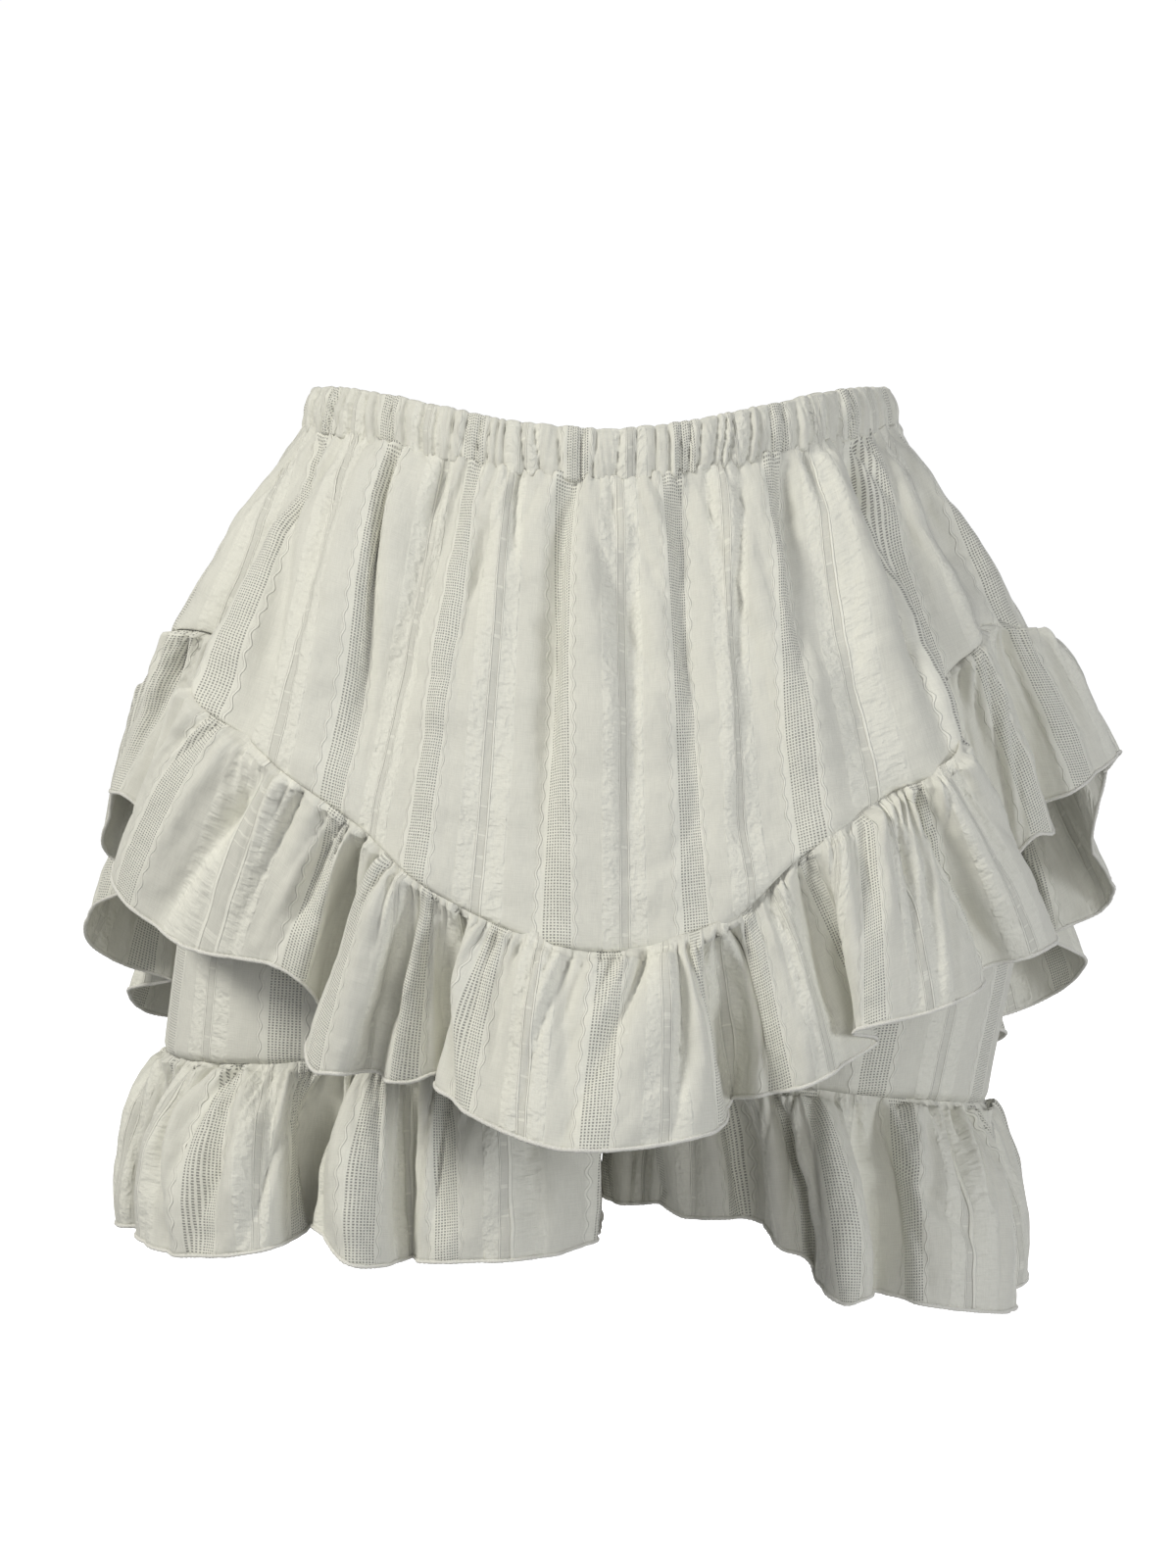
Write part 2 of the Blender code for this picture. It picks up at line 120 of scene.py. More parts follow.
# %% The overskirt's folds
# A row for each fold: its crest's angle on the seam; the angles where it starts and
# stops at the hem; how far out the hem stands there, how much the crest bows out and
# the next valley tucks in (mm); that valley's lean (degrees); and the hem's drop where
# the fold starts, at its crest and where it stops (mm)
FOLD_COLUMNS = (
    "crest", "start", "stop", "out_start", "out_stop", "bow", "tuck", "lean",
    "drop_start", "drop_crest", "drop_stop",
)
FOLDS_FRONT = (
    (-74, -87, -79, -13, -16, 2, 16, 0, 172, 174, 174),
    (-42, -65, -33, -12, -28, 0, 16, -1, 205, 233, 245),
    (-20, -29, -25, -20, -11, 2, 14, 0, 275, 281, 281),
    (-15, -20, -16, -18, -25, 0, 10, 0, 285, 285, 282),
    (0, -15, 9, -12, 12, 27, 28, 2, 284, 303, 299),
    (18, 14, 23, -12, -10, 9, 4, 4, 289, 283, 275),
    (31, 22, 38, 3, -4, 8, 9, 0, 262, 254, 246),
    (42, 45, 55, -9, -18, 4, 22, 2, 238, 234, 232),
    (58, 62, 69, -24, -25, 3, 9, 4, 189, 189, 184),
    (75, 75, 89, -17, 10, 2, 20, 2, 173, 163, 157),
)
FOLDS_BACK = (
    (111, 102, 112, -12, 0, 5, 22, 0, 206, 224, 236),
    (127, 118, 130, -4, 4, 8, 22, 1, 262, 276, 290),
    (141, 134, 142, 4, 0, 6, 20, 0, 306, 314, 320),
    (155, 147, 158, -6, -4, 9, 18, -1, 318, 326, 328),
    (168, 162, 173, -4, -8, 10, 20, 2, 330, 335, 332),
    (184, 177, 192, -4, 0, 14, 24, 0, 334, 342, 336),
    (199, 197, 208, -8, -4, 8, 18, 2, 328, 328, 322),
    (213, 212, 223, -6, -2, 10, 22, 0, 316, 314, 306),
    (228, 227, 239, -4, -6, 8, 20, -1, 298, 292, 278),
    (244, 243, 255, -12, -12, 7, 18, 0, 264, 252, 232),
    (259, 259, 264, -14, -13, 2, 6, 0, 206, 198, 188),
)
# The hem at the side seams, by the seam's angle: angle, out and drop (mm)
SIDE_SEAM_HEMS = {
    -SIDE_SEAM: (-92, -10, 173),
    SIDE_SEAM: (94, 3, 166),
    FULL_TURN - SIDE_SEAM: (268, -10, 173),
}
print(len(FOLDS_FRONT) + len(FOLDS_BACK), "overskirt folds")

# %% The leg ruffles' folds, round each leg's own middle
FOLDS_LEG_RIGHT = (
    (-42, -69, -21, 13, 22, 6, 26, -1, 369, 372, 365),
    (-5, -12, 8, 6, 13, 12, 9, 1, 358, 370, 371),
    (34, 11, 60, 15, 13, 17, 8, 0, 370, 369, 370),
    (90, 74, 112, 2, 3, -1, 10, 0, 374, 374, 372),
    (133, 120, 150, 8, 14, 9, 18, 0, 368, 371, 370),
    (176, 158, 196, 12, 16, 12, 20, 2, 371, 374, 368),
    (218, 204, 233, 10, 14, 9, 18, -2, 366, 371, 370),
    (262, 241, 282, 12, 18, 6, 12, 0, 372, 373, 371),
)
FOLDS_LEG_LEFT = (
    (-48, -62, -32, -4, -6, 3, 10, 0, 357, 360, 358),
    (-12, -17, -4, -8, 6, 9, 4, 0, 361, 367, 370),
    (4, 0, 9, 30, 35, 4, 13, 0, 380, 384, 382),
    (38, 18, 62, 27, 20, 12, 6, 0, 385, 394, 399),
    (90, 76, 102, 17, 17, 2, 12, 0, 397, 396, 393),
    (130, 113, 146, 12, 14, 9, 18, 0, 388, 388, 383),
    (175, 157, 192, 12, 16, 12, 20, 2, 379, 380, 372),
    (220, 202, 238, 10, 12, 9, 16, 0, 368, 370, 366),
    (258, 244, 272, 15, 3, 4, 2, 0, 362, 364, 364),
)
print(len(FOLDS_LEG_RIGHT) + len(FOLDS_LEG_LEFT), "leg folds")

# %% The shorts' ovals
# drop, outer side from the middle, the leg's middle, depth in front, depth behind
SHORTS = (
    (0.012, WAIST_HALF_WIDTH - SHORTS_INSET, 0.000, WAIST_HALF_DEPTH - SHORTS_INSET,
     WAIST_HALF_DEPTH - SHORTS_INSET),
    (0.045, 0.1450, 0.004, 0.106, 0.109),
    (0.090, 0.1610, 0.018, 0.110, 0.122),
    (0.135, 0.1730, 0.042, 0.110, 0.128),
    (0.180, 0.1830, 0.070, 0.104, 0.124),
    (0.225, 0.1905, 0.096, 0.095, 0.110),
)
CROTCH_DROP = 0.225
# Where each leg's cloth ends, and how low it hangs there
LEGS = {
    "right": dict(outer=0.2, middle=0.1005, drop_outer=0.2935, drop_front=0.287, drop_inner=0.284),
    "left": dict(outer=0.1765, middle=0.0945, drop_outer=0.318, drop_front=0.299, drop_inner=0.291),
}
LEG_FRONT_DEPTH, LEG_BACK_DEPTH = 0.085, 0.094
print("the legs part", CROTCH_DROP, "m below the waist")

# %% Reading a table smoothly


def smooth(table, column, where):
    """One column of a table, read between its rows along a smooth curve."""
    rows = np.array(table, float)
    known, values = rows[:, 0], rows[:, column]
    slopes = np.gradient(values, known)
    where = np.clip(where, known[0], known[-1])
    i = np.clip(np.searchsorted(known, where) - 1, 0, len(known) - 2)
    span = known[i + 1] - known[i]
    t = (where - known[i]) / span
    return (
        values[i] * (1 + 2 * t) * (1 - t) ** 2
        + slopes[i] * span * t * (1 - t) ** 2
        + values[i + 1] * t * t * (3 - 2 * t)
        + slopes[i + 1] * span * t * t * (t - 1)
    )


# %% Rings round the body


def on_ring(angle, half_width, half_depth, height, middle=0.0):
    """A point on an oval round the body, or round a leg whose middle is at that x."""
    turn = np.radians(angle)
    x = middle + half_width * np.sin(turn)
    return np.stack([x, -half_depth * np.cos(turn), height + 0 * x], axis=-1)


def is_back(angle):
    return np.cos(np.radians(angle)) < 0


def overskirt_ring(angle, drop, out):
    """A point on the overskirt's ring at this drop, moved out by so much."""
    half_depth = np.where(is_back(angle), smooth(FLARE, 3, drop), smooth(FLARE, 2, drop))
    return on_ring(angle, smooth(FLARE, 1, drop) + out, half_depth + out, -drop)


def casing_top(angle):
    turn = np.radians(angle)
    dip = np.where(is_back(angle), WAIST_BACK_DIP, WAIST_FRONT_DIP)
    return WAIST_SIDE_RISE - dip * np.cos(turn) ** DIP_POWER


def casing_bottom(angle):
    squeeze = CASING_SQUEEZE * np.sin(np.radians(angle)) ** SQUEEZE_POWER
    return casing_top(angle) - CASING_HEIGHT + squeeze


print("left hip at", overskirt_ring(90.0, 0.15, 0.0).round(3))

# %% [markdown]
# ## How a sheet is made
#
# A cloth simulation could drape each piece, but its folds fall where chance puts
# them, and this garment's main folds are known one by one. So the form is worked
# out. Blender's grid operator gives a flat net of square faces. Every sheet starts
# as one, and its points are then moved to where the garment holds them. Along the
# net's width runs the cloth from left to right, and down the net it runs from
# the upper seam to the lower edge. A UV map in metres of cloth goes with it, so
# that the woven stripes later follow the threads round each fold and gather.

# %% A net of cloth
nets = {}  # the places, and the places on the flat cloth, of each net by name


def placed(name, data):
    """A new object in the scene with this mesh, lamp or camera."""
    obj = bpy.data.objects.new(name, data)
    bpy.context.scene.collection.objects.link(obj)
    return obj


def mesh_piece(name, net):
    """A new object from a finished bmesh."""
    mesh = bpy.data.meshes.new(name)
    net.to_mesh(mesh)
    net.free()
    return placed(name, mesh)


def sheet(name, points, sideways, down, closed=False):
    """A piece from a (rows, columns, 3) array of places. sideways and down say where each
    point lies on the flat cloth. All are in metres. A closed sheet meets itself."""
    cloth = np.stack(np.broadcast_arrays(sideways, down), axis=-1)
    nets[name] = points, cloth
    rows, columns = points.shape[:2]
    net = bmesh.new()
    bmesh.ops.create_grid(net, x_segments=columns - 1, y_segments=rows - 1, size=0.5)
    uv = net.loops.layers.uv.new("cloth")
    for vert in net.verts:
        column = round((vert.co.x + 0.5) * (columns - 1))
        row = round((0.5 - vert.co.y) * (rows - 1))
        vert.co = points[row, column]
        for loop in vert.link_loops:
            loop[uv].uv = cloth[row, column]
    if closed:
        bmesh.ops.remove_doubles(net, verts=net.verts, dist=1e-6)
    piece = mesh_piece(name, net)
    piece.data.shade_smooth()
    print(name, "net of", rows, "by", columns, "points,", round(float(down.max()), 3), "m long")
    return piece


# %% Directions and lengths on a net


def unit(vectors):
    """The same directions, all of length 1."""
    return vectors / np.maximum(np.linalg.norm(vectors, axis=-1, keepdims=True), 1e-12)


def across(points):
    """For each point of a net, the unit vector that stands out of the cloth."""
    return unit(np.cross(np.gradient(points, axis=0), np.gradient(points, axis=1)))


def raised(points, height, drawn=0.0):
    """The points moved out of the cloth by height, and to the left along it by drawn (mm)."""
    along = unit(np.gradient(points, axis=1))
    moved = across(points) * height[..., None] - along * np.asarray(drawn)[..., None]
    return points + MM * moved


def lengths(points, axis):
    """How far along the net each point lies, in metres, measured along one axis."""
    steps = np.linalg.norm(np.diff(points, axis=axis), axis=2)
    start = np.zeros_like(np.take(steps, [0], axis=axis))
    return np.concatenate([start, np.cumsum(steps, axis=axis)], axis=axis)


# %% [markdown]
# ## Gathers
#
# Gathering thread draws a long edge up short, and the spare cloth stands in
# small ridges of uneven width and height. A row of sine waves would look like a
# curtain. Here the valleys are placed at uneven steps, and the cloth between two
# of them rises in a rounded ridge whose height is its own. The ridges die out
# down the cloth, the narrow ones first.

# %% Uneven ridges


def ridges(where, gap, uneven, seed, loop=None):
    """The height, from 0 to 1, of ridges that are about gap apart along where. On a
    loop of this length they come round to where they began."""
    chance = np.random.default_rng(seed)
    low, high = (0.0, loop) if loop else (where.min() - 2 * gap, where.max() + 3 * gap)
    steps = gap * (1 + uneven * chance.uniform(-1, 1, round((high - low) / gap)))
    valleys = low + np.concatenate([[0], np.cumsum(steps * (high - low) / steps.sum())])
    where = where % loop if loop else where
    order = np.interp(where, valleys, np.arange(len(valleys)))
    i = np.clip(order.astype(int), 0, len(steps) - 1)
    size = chance.uniform(1 - uneven, 1, len(steps))
    return size[i] * np.sqrt(np.maximum(np.sin(np.pi * (order - i)), 0))


def wander(where, gap, seed, loop=None):
    """A smooth random line between -1 and 1 that turns about once in every gap."""
    chance = np.random.default_rng(seed)
    low, high = (0.0, loop) if loop else (where.min() - gap, where.max() + gap)
    known = np.linspace(low, high, round((high - low) / gap) + 2)
    values = chance.uniform(-1, 1, len(known))
    if loop:
        values[-1] = values[0]
        where = where % loop
    return smooth(np.column_stack([known, values]), 1, where)


# %% Dents and creases of worn cloth


def ease(where, start, stop):
    """0 before start and 1 after stop, with a smooth rise between."""
    part = np.clip((where - start) / (stop - start), 0, 1)
    return part * part * (3 - 2 * part)


def dents(across_cloth, down_cloth, gap, seed, loop=None):
    """Smooth random hills and hollows between -1 and 1, about gap apart both ways."""
    chance = np.random.default_rng(seed)
    width = loop or np.ptp(across_cloth) + gap
    columns = max(2, round(width / gap))
    x = (across_cloth - (0 if loop else across_cloth.min())) / width * columns % columns
    y = (down_cloth - down_cloth.min()) / gap
    hills = chance.uniform(-1, 1, (int(y.max()) + 2, columns + 1))
    hills[:, -1] = hills[:, 0]
    i, j = x.astype(int), y.astype(int)
    u, v = ease(x - i, 0, 1), ease(y - j, 0, 1)
    upper = hills[j, i] * (1 - u) + hills[j, i + 1] * u
    lower = hills[j + 1, i] * (1 - u) + hills[j + 1, i + 1] * u
    return upper * (1 - v) + lower * v


def crumpled(across_cloth, down_cloth, seed, loop=None):
    """The height (mm) of the soft dents and thin creases of worn thin cotton."""
    soft = 1.1 * dents(across_cloth, down_cloth, 0.026, seed, loop)
    soft = soft + 0.6 * dents(across_cloth, down_cloth, 0.012, seed + 1, loop)
    soft = soft + 0.25 * dents(across_cloth, down_cloth, 0.006, seed + 4, loop)
    line = dents(across_cloth, down_cloth * 0.7, 0.034, seed + 2, loop)
    where = ease(dents(across_cloth, down_cloth, 0.03, seed + 3, loop), 0.0, 0.5)
    return soft - 0.9 * where * np.exp(-((line / 0.13) ** 2))


# %% Near the edges


def at_sides(height, along, groove=1.5):
    """The height (mm), brought down to a narrow sewn groove (mm) at both side edges."""
    side = np.minimum(along - along[:, :1], along[:, -1:] - along)
    return height * (1 - np.exp(-side / 0.004)) - groove * np.exp(-side / 0.0014)


def between(fallen, start, reach, power=1.0):
    """0 at the edge, up to 1 within about start of it, and down again after reach."""
    return (1 - np.exp(-fallen / start)) * np.exp(-((fallen / reach) ** power))


print("6 mm below a seam, gathers have", round(between(0.006, 0.002, 0.012), 2), "of their height")

# %% [markdown]
# ## The casing
#
# The waist's casing is a strip folded over a wide elastic. The elastic draws it
# up to well under its own length, so it stands in some hundred upright puffs
# with a sharp crease between each two. Many creases lean, and some end half way.
# Two plain rings with a bump map could stand for it, but a bump leaves the outline
# smooth, and here the puffs show in it. So they are raised in the mesh, from two
# rows of uneven ridges. The net runs up the inside, over the fold and down the
# outside.

# %% Sizes of the casing
CASING_LEAN = ((0.0, 0.0), (0.3, 0.0), (0.65, -0.001), (1.0, -0.004))  # share of height, out
CASING_HALF_WALL = 0.002
CASING_COLUMNS = 1120
CASING_GATHER = 1.5  # metres of cloth for each metre of waist
PUFF_GAP, CREASE_GAP = 0.0066, 0.0029
STRIPE_AT_WAIST = -4.25  # the angle of stripe 0 on the casing
print("puffs", PUFF_GAP / MM, "mm apart, with creases", CREASE_GAP / MM, "mm apart")

# %% Casing shape


def casing_profile():
    """(share of the height, out from the middle of the wall, up) down one section."""
    rows = [(share, -CASING_HALF_WALL, 0.0) for share in np.linspace(0, 0.9, 9)]
    for turn in np.radians(np.linspace(165, 15, 9)):
        rows.append((0.9, CASING_HALF_WALL * np.cos(turn), CASING_HALF_WALL * np.sin(turn)))
    rows += [(share, CASING_HALF_WALL, 0.0) for share in np.linspace(0.9, 0, 27)]
    return rows + [(-0.03, 0.4 * CASING_HALF_WALL, 0.0), (-0.03, -0.4 * CASING_HALF_WALL, 0.0)]


def casing():
    share, out, up = np.array(casing_profile()).T[:, :, None]
    angle = np.linspace(0, FULL_TURN, CASING_COLUMNS)[None, :] + FULL_TURN / 2
    ahead = casing_bottom(angle) + share * (casing_top(angle) - casing_bottom(angle)) + up
    lean_in = smooth(CASING_LEAN, 1, share) + SEAM_GAP - CASING_HALF_WALL + out
    points = on_ring(angle, WAIST_HALF_WIDTH + lean_in, WAIST_HALF_DEPTH + lean_in, ahead)
    around = lengths(points, 1)[-10]
    loop = float(around[-1])
    slant = 0.3 * CASING_HEIGHT * (share - 0.5) * wander(around, 0.028, 1, loop)
    main = ridges(around + slant, PUFF_GAP, 0.55, 2, loop) ** 0.6
    small = ridges(around - slant, CREASE_GAP, 0.6, 3, loop) ** 0.7
    where_small = ease(wander(around + 0.4 * share * CASING_HEIGHT, 0.012, 4, loop), -0.5, 0.5)
    outside = ease(out, -CASING_HALF_WALL, CASING_HALF_WALL)
    over_top = 1 - 0.5 * ease(share + up / CASING_HEIGHT, 0.82, 0.95)
    height = (4.2 * main - 3.2 + 1.6 * where_small * (small - 0.6)) * (0.4 + 0.6 * outside)
    height = height * over_top
    height = height + 0.35 * wander(around + 2 * share * CASING_HEIGHT, 0.009, 5, loop)
    points = raised(points, height)
    points[:, -1] = points[:, 0]
    turn = (angle - FULL_TURN - STRIPE_AT_WAIST) / FULL_TURN
    print("waist", round(loop, 3), "m round")
    return sheet("casing", points, turn * loop * CASING_GATHER, lengths(points, 0), closed=True)


casing_piece = casing()

# %% [markdown]
# ## The overskirt's panels
#
# A panel is wide cloth drawn up to the waist. Its stripes fan out towards the V
# seam, and where the cloth has more width than the ring below it needs, it falls
# into long flutes. It could be sculpted, but then no fold could be moved by a
# number. So the net is first laid on the ring sizes, with the flutes of the
# table. Gathers, and the few deep creases that the eye finds first, are then
# raised and sunk across it.

# %% Panel sizes and stripes
REPEAT = 0.062  # metres of cloth from one openwork stripe to the next
PANEL_COLUMNS, PANEL_ROWS = 280, 120
EDGE_TURN = 0.0016  # how far from a sewn edge the cloth turns in
# The cloth of the back: its width for each metre half way down, and stripe 0's place
BACK_WIDTH_SHARE, BACK_STRIPE_SHIFT = 1.15, 0.011
# Fine, middling and broad gathers: gap (metres), how much they lean, and their own seed
PANEL_GATHERS = ((0.0045, 1.0, 1), (0.0095, 1.2, 4), (0.019, 1.4, 2))

# Where the stripes run down the front panel: repeats from stripe 0, then the angle
# where that thread leaves the casing and where it meets the V seam
STRIPES_PANEL = (
    (-4.6, -94, -91), (-4, -83, -78), (-3.5, -75, -66), (-3, -66, -51), (-2.5, -52, -37.5),
    (-2, -40.5, -29.3), (-1.5, -29, -24), (-1, -23.7, -18.5), (-0.5, -16, -11.8),
    (0, -6, -3.8), (0.5, 3.6, 2.4), (1, 12.8, 8.8), (1.5, 22.5, 14.5), (2, 33, 21.2),
    (2.5, 41.5, 30.2), (2.85, 51, 41), (3, 60, 48), (3.5, 70, 60), (4, 80, 72),
    (5.2, 95, 92),
)
STRIPE_EASE = 2.2
print("stripes set at", len(STRIPES_PANEL), "places on the front panel")

# %% Creases of the panels
# Angle at the waist and at the V, share of the height where it starts and ends,
# depth (mm, a ridge where it is negative), half width (degrees), and how far the cloth to
# its right is drawn over it (mm, the cloth to its left where it is negative)
CREASES_FRONT = (
    (-76, -70, 0, 0.8, 3, 1.8, 0), (-68, -44, 0.03, 1.1, 5, 2.2, 0),
    (-58, -52, 0, 0.35, 3, 1.2, 0), (-47, -36, 0.02, 1, -4, 2.8, 0),
    (-40.5, -28, 0, 0.85, 8, 1.3, 4), (-37, -26, 0, 0.5, -3, 1.6, 0),
    (-29, -27, 0, 0.2, 3, 0.9, 0), (-18.5, -17, 0.12, 0.8, 6.5, 2.2, 0),
    (-17.5, -12, 0.02, 0.4, -2.5, 1.2, 0), (-15, -9, 0, 0.22, 3.5, 0.9, 1),
    (-5.5, -6, 0, 1.1, 9.5, 2.1, 3), (-3.5, 1.5, 0.05, 1.1, -4.5, 2.8, 0),
    (2, 3, 0, 0.16, 3, 0.8, 0), (6, 2.5, 0.1, 1.1, 3, 1.1, 0),
    (14, 9.5, 0.02, 1.1, 8, 2.4, 0), (19, 16, 0, 0.15, 3, 0.8, 0),
    (24, 13, 0.15, 0.85, -2.5, 1, 0), (25.5, 14.5, 0.05, 0.5, 3.5, 0.9, 0),
    (35, 23, 0.02, 0.65, 6.5, 1.7, 0), (40, 34, 0, 0.2, 3, 0.9, 1),
    (45, 33, 0.03, 1, -4.5, 3.8, 0), (54, 40.5, 0.02, 1.2, 9, 2.6, 2),
    (64, 52, 0, 0.8, 3.5, 1.6, 0), (73, 66, 0, 0.9, 3.5, 1.8, 0),
)
CREASES_BACK = (
    (92, 96, 0.02, 0.9, 4.5, 1.6, 2), (105, 109, 0, 0.55, 3.5, 1.2, 0),
    (113, 114, 0.02, 1.1, -3, 3, 0), (120, 118, 0, 0.95, 6, 1.6, -3),
    (131, 133, 0.05, 0.45, 3.5, 1.1, 0), (140, 141, 0, 1.1, 5.5, 1.8, 2),
    (146, 148, 0.1, 1, -3, 2.8, 0), (154, 155, 0, 0.35, 3.5, 1, 0),
    (163, 161, 0, 0.75, 5, 1.4, 0), (176, 178, 0, 1.1, 6.5, 1.8, -3),
    (182, 184, 0.05, 1, -3, 3, 0), (189, 188, 0, 0.4, 3.5, 1, 0),
    (197, 199, 0, 0.7, 4.5, 1.4, 1), (209, 207, 0, 1.1, 6.5, 1.9, 3),
    (221, 223, 0, 0.45, 3.5, 1, 0), (227, 226, 0.1, 1.1, -3.5, 3.2, 0),
    (234, 231, 0, 0.9, 5, 1.6, 0), (246, 247, 0.02, 1.05, 6, 1.7, -2),
    (258, 256, 0, 0.5, 3.5, 1.1, 0), (268, 265, 0, 0.95, 4.5, 1.6, 0),
)


def creased(where, share, creases, bend):
    """How far each point is sunk by the creases of a table, and how far it is drawn to
    the left along the cloth, in millimetres."""
    sunk, drawn = 0 * where * share, 0 * where * share
    for upper, lower, start, stop, depth, half_width, pull in creases:
        middle = lower + (upper - lower) * (1 - share) ** bend
        part = np.clip((share - start) / (stop - start), 0, 1)
        length = np.sin(np.pi * part**0.6) ** 0.8
        apart = (where - middle) / half_width
        sunk = sunk + depth * length * np.exp(-(apart**2))
        beside = np.exp(-(((apart * np.sign(pull) - 1.4) / 1.5) ** 2))
        drawn = drawn + pull * length * beside
    return sunk, drawn


print(len(CREASES_FRONT), "creases in front,", len(CREASES_BACK), "behind")

# %% Panel shape
WAIST_FLUTE_REACH = 0.9  # share of the height where the flutes of the waist have died out
PANEL_EASE = 1.5


def panel_base(angle, share, seam, flutes):
    """The panel before its gathers: share 0 is at the casing and 1 at the V seam."""
    top = SEAM_GAP - casing_bottom(angle)
    drop = top + share * (smooth(seam, 1, angle) - top)
    bulge = np.sin(np.pi * np.clip(share / WAIST_FLUTE_REACH, 0, 1))
    near_waist = bulge * smooth(flutes, 1, angle) * MM
    at_seam = np.clip(share, 0, 1) ** PANEL_EASE * smooth(flutes, 2, angle) * MM
    lag = (top - FLARE[0][0]) * np.clip(1 - share, 0, 1) ** PANEL_EASE
    points = overskirt_ring(angle, drop - lag, near_waist + at_seam)
    points[..., 2] = -drop
    return points


def panel(name, start, stop, seam, flutes, creases, seed):
    angle = np.linspace(start, stop, PANEL_COLUMNS)[None, :]
    share = np.linspace(0, 1, PANEL_ROWS)[:, None] ** 1.15
    points = panel_base(angle, share, seam, flutes)
    along, down = lengths(points, 1), lengths(points, 0)
    waist = along[:1] + 0 * down
    lean = down * 0.16 * wander(waist, 0.04, seed)
    fine, middling, broad = (
        ridges(waist + slant * lean, gap, 0.6, seed + more) - 0.5
        for gap, slant, more in PANEL_GATHERS
    )
    sunk, drawn = creased(angle, share, creases, STRIPE_EASE)
    height = (
        2.8 * fine * np.exp(-down / 0.010)
        + 3.6 * middling * between(down, 0.004, 0.030, 1.2)
        + 4.8 * broad * between(down, 0.009, 0.110, 1.5)
        - sunk
        + 1.4 * crumpled(waist, down, seed + 3)
    )
    # The edges turn in, where they are sewn to the casing, the ruffle and each other
    height = height - 1.4 * (0.6 - fine) * np.exp(-down / EDGE_TURN)
    height = height - 1.3 * np.exp(-(down[-1:] - down) / EDGE_TURN)
    points = raised(points, at_sides(height, along), drawn)
    points[..., 2] += MM * (2.0 + 1.2 * fine) * np.exp(-down / 0.0022)
    if seam is SEAM_FRONT:
        repeats, at_waist, at_seam = np.array(STRIPES_PANEL).T
        threads = at_seam + (at_waist - at_seam) * (1 - share) ** STRIPE_EASE
        sideways = REPEAT * np.array([np.interp(angle[0], row, repeats) for row in threads])
    else:
        sideways = BACK_WIDTH_SHARE * (along[PANEL_ROWS // 2] + BACK_STRIPE_SHIFT)
    return sheet(name, points, sideways, down)


# %% The two panels
panel_front = panel(
    "panel_front", -SIDE_SEAM, SIDE_SEAM, SEAM_FRONT, FLUTES_FRONT, CREASES_FRONT, 11
)
panel_back = panel(
    "panel_back", SIDE_SEAM, FULL_TURN - SIDE_SEAM, SEAM_BACK, FLUTES_BACK, CREASES_BACK, 31
)

# %% [markdown]
# ## The ruffles
#
# A ruffle is a straight strip, well over half as long again as the edge it is
# gathered to. The hem keeps its full length, so it has to swing out and in. One
# wave along the hem would be quick, but all its folds would be alike. So each fold
# has a row in a table, and a smooth curve through them gives the hem's line. Each
# thread then runs from its place on the hem up to its place on the seam.

# %% Where the seam holds the threads


def hem_table(*rows):
    """Ways along a hem, turned from millimetres into metres, and what belongs to each."""
    way, value = np.array(rows).T
    return way * MM, value


# Where the threads of a ruffle meet its seam: way along the hem (mm), seam angle
SEAM_PINS = {
    "front": hem_table(
        (0, -80), (24, -72), (112.5, -48.5), (202, -28), (264, -21.7), (321, -16.7),
        (372, -12.2), (397, -9.6), (425, -5.5), (455, 0.8), (482, 6), (560, 11), (599, 14),
        (655, 20.5), (690, 27), (711, 30.4), (789, 38.5), (892, 58), (962, 75), (1002, 80),
    ),
    "right": hem_table(
        (-71, -98), (19, -50.5), (63, -35.8), (90, -25.7), (145, -6), (195, 3), (253, 17.8),
        (273, 32), (337, 68), (405, 90), (496, 133), (609, 176), (730, 218), (841, 262),
        (931, 309.5),
    ),
    "left": hem_table(
        (-66, -102), (21, -48), (86, -17), (146, -5.5), (200, 24), (228, 41.8), (285, 62),
        (339, 90), (433, 130), (540, 175), (655, 220), (752, 258), (840, 312),
    ),
}
print("threads held by hand on", len(SEAM_PINS), "ruffles")

# %% The hem's line
LOOP_OVERLAP = 3  # how many points of a loop are repeated at either end
NOT_HELD = math.nan


def fold_points(folds, ring, closed):
    """Rows of (crest's angle on the seam, x, y, z, how far out in mm) along the hem, four
    for each fold. Only the crests have an angle, because only they are held."""
    rows = [dict(zip(FOLD_COLUMNS, fold)) for fold in folds]
    points = []

    def add_point(crest, angle, drop, out):
        points.append((crest, *ring(angle, drop * MM, out * MM), out))

    for i, fold in enumerate(rows):
        start, stop = fold["start"], fold["stop"]
        out_crest = (fold["out_start"] + fold["out_stop"]) / 2 + fold["bow"]
        add_point(NOT_HELD, start, fold["drop_start"], fold["out_start"])
        add_point(fold["crest"], (start + stop) / 2, fold["drop_crest"], out_crest)
        add_point(NOT_HELD, stop, fold["drop_stop"], fold["out_stop"])
        if i + 1 == len(rows) and not closed:
            break
        after = rows[(i + 1) % len(rows)]
        turn = FULL_TURN if i + 1 == len(rows) else 0.0
        valley = (stop + after["start"] + turn) / 2 + fold["lean"]
        out = min(fold["out_stop"], after["out_start"]) - fold["tuck"]
        add_point(NOT_HELD, valley, (fold["drop_stop"] + after["drop_start"]) / 2, out)
    return np.array(points)


